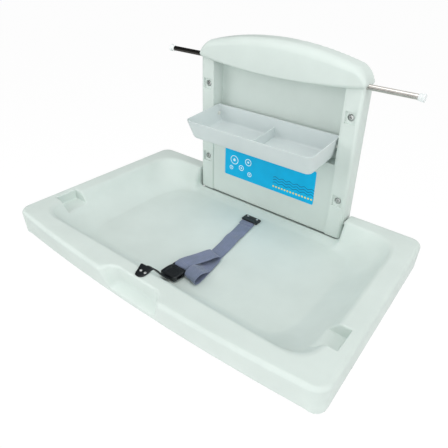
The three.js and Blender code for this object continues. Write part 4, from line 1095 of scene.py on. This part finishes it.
def plug_field(x, y, z):
    middle = PLUG_START + PLUG_LENGTH / 2
    plan = rounded_box(x, y - middle, SOCKET_HALF[0], PLUG_LENGTH / 2, radius=4)
    body = round_and(plan, np.abs(z) - PLUG_HALF_HEIGHT, radius=1.8)
    slot = rounded_box(x, y - PLUG_START - PLUG_SLOT[0], *PLUG_SLOT[1:], radius=1.5)
    body = carve(body, slot, radius=0.9)
    tongue_middle = (TONGUE_TIP + TONGUE_ROOT) / 2
    tongue_half = (TONGUE_ROOT - TONGUE_TIP) / 2
    tongue = rounded_box(x, y - tongue_middle, TONGUE_HALF[0], tongue_half, radius=2)
    return np.minimum(body, round_and(tongue, np.abs(z) - TONGUE_HALF[1], radius=0.8))


def ribbon(centres, across, widths, thickness):
    """Rings of a flat band with rounded edges along a path, and the distance along it."""
    ahead = np.gradient(centres, axis=0)
    ahead /= np.linalg.norm(ahead, axis=1)[:, None]
    across = across - (across * ahead).sum(1)[:, None] * ahead
    across /= np.linalg.norm(across, axis=1)[:, None]
    up = np.cross(across, ahead)
    half = thickness / 2
    left_part = [(-1, 0), (-0.98, 0.7), (-0.93, 1), (-0.5, 1)]
    section = left_part + [(0, 1)] + [(-u, h) for u, h in left_part[::-1]]
    section += [(u, -h) for u, h in section[-2:0:-1]]
    rings = []
    for u, h in section:
        rings.append(centres + across * (u * widths / 2)[:, None] + up * (h * half))
    distance = np.append(0, np.cumsum(np.linalg.norm(np.diff(centres, axis=0), axis=1)))
    return [np.stack([ring[i] for ring in rings]) for i in range(len(centres))], section, distance


def smooth_curve(points, steps):
    """Centripetal Catmull-Rom curve through the points."""
    points = np.array(points, float)
    padded = np.concatenate([[2 * points[0] - points[1]], points, [2 * points[-1] - points[-2]]])
    place = np.linspace(0, len(points) - 1, steps + 1)
    first = np.minimum(place.astype(int), len(points) - 2)
    share = (place - first)[:, None]
    p0, p1, p2, p3 = (padded[first + k] for k in range(4))
    gaps = [np.linalg.norm(b - a, axis=1) for a, b in ((p0, p1), (p1, p2), (p2, p3))]
    d0, d1, d2 = (np.maximum(gap, 1e-4)[:, None] ** 0.5 for gap in gaps)
    t1 = ((p1 - p0) / d0 - (p2 - p0) / (d0 + d1) + (p2 - p1) / d1) * d1
    t2 = ((p2 - p1) / d1 - (p3 - p1) / (d1 + d2) + (p3 - p2) / d2) * d1
    c2 = -3 * p1 + 3 * p2 - 2 * t1 - t2
    c3 = 2 * p1 - 2 * p2 + t1 + t2
    return p1 + t1 * share + c2 * share**2 + c3 * share**3


tab_line = smooth_curve(TAB_ROUTE, steps=110)
tab_from_end = tab_line[:, 0] - TAB_ROUTE[0][0]
tab_distances, tab_lefts, tab_rights = zip(*TAB_EDGES)
tab_left = np.interp(tab_from_end, tab_distances, tab_lefts)
tab_right = np.interp(tab_from_end, tab_distances, tab_rights)
tab_path = np.column_stack([np.zeros(len(tab_line)), tab_line])
tab_across = np.tile([1.0, 0, 0], (len(tab_path), 1))
unit_width = np.full(len(tab_path), 2.0)
tab_rings, _, _ = ribbon(tab_path, tab_across, unit_width, TAB_THICKNESS)
for ring, left, right in zip(tab_rings, tab_left, tab_right):
    ring[:, 0] = (left + right) / 2 + ring[:, 0] * (right - left) / 2
tab_points, tab_faces = skinned(tab_rings)
socket_grid = (lines((-25, 25, 0.7)), lines((-21, 21, 0.7)), lines((-8, 8, 0.6)))
socket_skin = moulded("socket_body", socket_field, socket_grid, black, buckle_matrix)
tab_skin = new_piece("socket_tab", tab_points * MM, tab_faces, black)
with bpy.context.temp_override(
    active_object=socket_skin, selected_editable_objects=[socket_skin, tab_skin]
):
    bpy.ops.object.join()
socket_skin.name = "buckle_socket_skin"
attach(socket_skin, "bed")
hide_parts("buckle_socket")

plug_grid = (lines((-25, 25, 0.7)), lines((-9, 39, 0.7)), lines((-6.5, 6.5, 0.6)))
plug = moulded("buckle_plug_skin", plug_field, plug_grid, black, buckle_matrix)
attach(plug, "plug")
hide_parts("buckle_plug")
for side_name in ("left", "right"):
    prong = softened(f"prong_{side_name}_skin", f"plug_prong_{side_name}", black, PRONG_EDGE)
    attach(prong, f"prong_{side_name}")
    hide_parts(f"plug_prong_{side_name}")


# Strap: grey-blue polyester webbing, woven 38 mm wide. It is sewn round the rear anchor, lies flat
# on the floor and ends in slack that folds into an open loop before it goes round the plug's bar.

STRAP_WIDTH = 38
STRAP_THICKNESS = 1.6
STRAP_STEPS = 340
LEVEL = (1, 0.05, 0)
TURNED = (0.97, -0.24, 0)
TO_PLUG = (0.96, -0.28, 0)
WARP_PITCH = 1.5
WEFT_PITCH = 1.3
TWILL_TURN = 6
HOLLOW_SHADE = 0.74

end_loop = [
    (2, -139, -2.2), (1, -130, -2.4), (0, -119, -2.5), (0, -112, -2.2), (0, -108.4, -3.3),
    (0, -112, -4.5),
]
flat_run = [
    (0.5, -121, -4.2), (4, -133, -4.0), (7, -152, -2.2), (9, -170, -3.9), (12, -190, -3.4),
    (14, -212, -1.6), (18, -236, -3.8), (22, -266, -4.1), (26, -296, -4.1), (32, -326, -4.1),
    (38, -354, -4.1),
]
front_loop = [
    (42, -380, -4.1), (43.6, -397, -3.2), (44.3, -406.5, 1.6), (44.4, -408, 7.5),
    (44.2, -403, 12.6), (43.8, -393, 15), (43, -381, 13.6), (41.8, -369, 8.6), (40, -357, 2.4),
    (38.4, -348, -0.8),
]
rear_fold = [
    (36.5, -338, -2.0), (33.6, -320, -2.2), (31.6, -308, -1.4), (30.6, -301.5, 1.2),
    (30, -299.6, 4.6), (29, -302.6, 8.2), (26, -312, 10.2),
]
to_plug = [(19, -332, 10.2), (10.5, -353, 10.4), (4, -369, 10.8)]
over_bar = [(0.6, -380, 10.2), (0, -386, 8.9), (0, -389.6, 6.4), (0, -390.4, 2.2)]
strap_route = [(at, LEVEL) for at in end_loop + flat_run]
strap_route += [(at, TURNED) for at in front_loop]
strap_route += [(at, TO_PLUG) for at in rear_fold + to_plug]
strap_route += [(at, (1, 0, 0)) for at in over_bar]
strap_path = smooth_curve([at for at, _ in strap_route], STRAP_STEPS)
strap_across = smooth_curve([across for _, across in strap_route], STRAP_STEPS)
strap_width = np.full(len(strap_path), float(STRAP_WIDTH))
strap_rings, strap_section, strap_distance = ribbon(
    strap_path, strap_across, strap_width, STRAP_THICKNESS
)
strap_points, strap_faces = skinned(strap_rings)


def woven(name, colour, second_colour):
    """Webbing: ribs along its length crossed by a zigzag weft, patchy in tone, with some fuzz."""
    material, tree, shader = new_material(name)
    axes = axes_of(tree, add_node(tree, "ShaderNodeUVMap", uv_map="weave").outputs["UV"])
    u, v = axes["X"], axes["Y"]
    warp = worked(tree, "SINE", worked(tree, "MULTIPLY", u, 2 * math.pi / WARP_PITCH))
    slant = worked(tree, "ADD", v, worked(tree, "PINGPONG", u, TWILL_TURN))
    weft = worked(tree, "SINE", worked(tree, "MULTIPLY", slant, 2 * math.pi / WEFT_PITCH))
    cloth = worked(tree, "ADD", worked(tree, "MULTIPLY", warp, weft), 1)
    cloth = worked(tree, "MULTIPLY", cloth, 0.5)
    patches = spread(tree, noise(tree, scale=38.0), 0, 1)
    ground = mixed(tree, patches, linear(*colour), linear(*second_colour))
    hollows = worked(tree, "MULTIPLY", cloth, 0.5)
    shaded = mixed(tree, hollows, ground, linear(*[c * HOLLOW_SHADE for c in colour]))
    tree.links.new(shaded, shader.inputs["Base Color"])
    shader.inputs["Roughness"].default_value = 0.78
    shader.inputs["Sheen Weight"].default_value = 0.35
    shader.inputs["Sheen Roughness"].default_value = 0.4
    bumped(tree, shader, cloth, strength=0.55, distance=0.0003)
    return material


webbing = woven("webbing", (124, 134, 164), (112, 124, 143))
strap = new_piece("strap_webbing_cloth", strap_points * MM, strap_faces, webbing)
ring_count = len(strap_section)
weave = strap.data.uv_layers.new(name="weave")
for loop in strap.data.loops:
    step, corner = divmod(loop.vertex_index, ring_count)
    aside = strap_section[corner][0] * STRAP_WIDTH / 2
    weave.data[loop.index].uv = (aside, strap_distance[step])
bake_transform(strap)
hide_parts("strap_webbing")


# Stitching: rows of polyester thread that close the strap's loops at the anchor and the plug.
# Each stitch is a short round-ended length of thread that lies across the webbing.

STITCH_LENGTH = 2.4
STITCH_THICK = 0.36
STITCH_PITCH = 3.1
STITCH_INSET = 3
STITCH_LIFT = 0.52
STITCH_WANDER = 0.12
STITCH_ROWS = {"bed": (3, 6, 13), "plug": (14, 17)}

thread = woven("stitch_thread", (150, 158, 178), (140, 148, 170))


def stitch_field(x, y, z):
    over = np.maximum(np.abs(x) - STITCH_LENGTH / 2 + STITCH_THICK, 0)
    return np.sqrt(over**2 + y**2 + z**2) - STITCH_THICK


def stitched(body, from_rear):
    """Stitches in rows across the strap, at distances from its rear or its front end."""
    first = STITCH_INSET - STRAP_WIDTH / 2
    offsets = np.arange(first, 1 - first, STITCH_PITCH)
    places = []
    for row in STITCH_ROWS[body]:
        along = row if from_rear else strap_distance[-1] - row
        step = int(np.argmin(np.abs(strap_distance - along)))
        ring = strap_rings[step]
        left, right = ring[0], ring[len(strap_section) // 2]
        across = (right - left) / STRAP_WIDTH
        ahead = strap_rings[step + 1].mean(0) - ring.mean(0)
        up = np.cross(across, ahead)
        up *= np.sign(up[2]) / np.linalg.norm(up)
        middle = (left + right) / 2
        for offset in offsets:
            places.append((middle + across * offset + up * STRAP_THICKNESS * STITCH_LIFT) * MM)
    grid = (lines((-1.6, 1.6, 0.16)), lines((-0.6, 0.6, 0.13)), lines((-0.6, 0.6, 0.13)))
    one = moulded(f"stitch_{body}", stitch_field, grid, thread)
    name = f"strap_stitches_{body}"
    row_piece = copies_of(name, one, places, up, thread, STITCH_WANDER, SPIN_SEED)
    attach(row_piece, body)


stitched("bed", from_rear=True)
stitched("plug", from_rear=False)
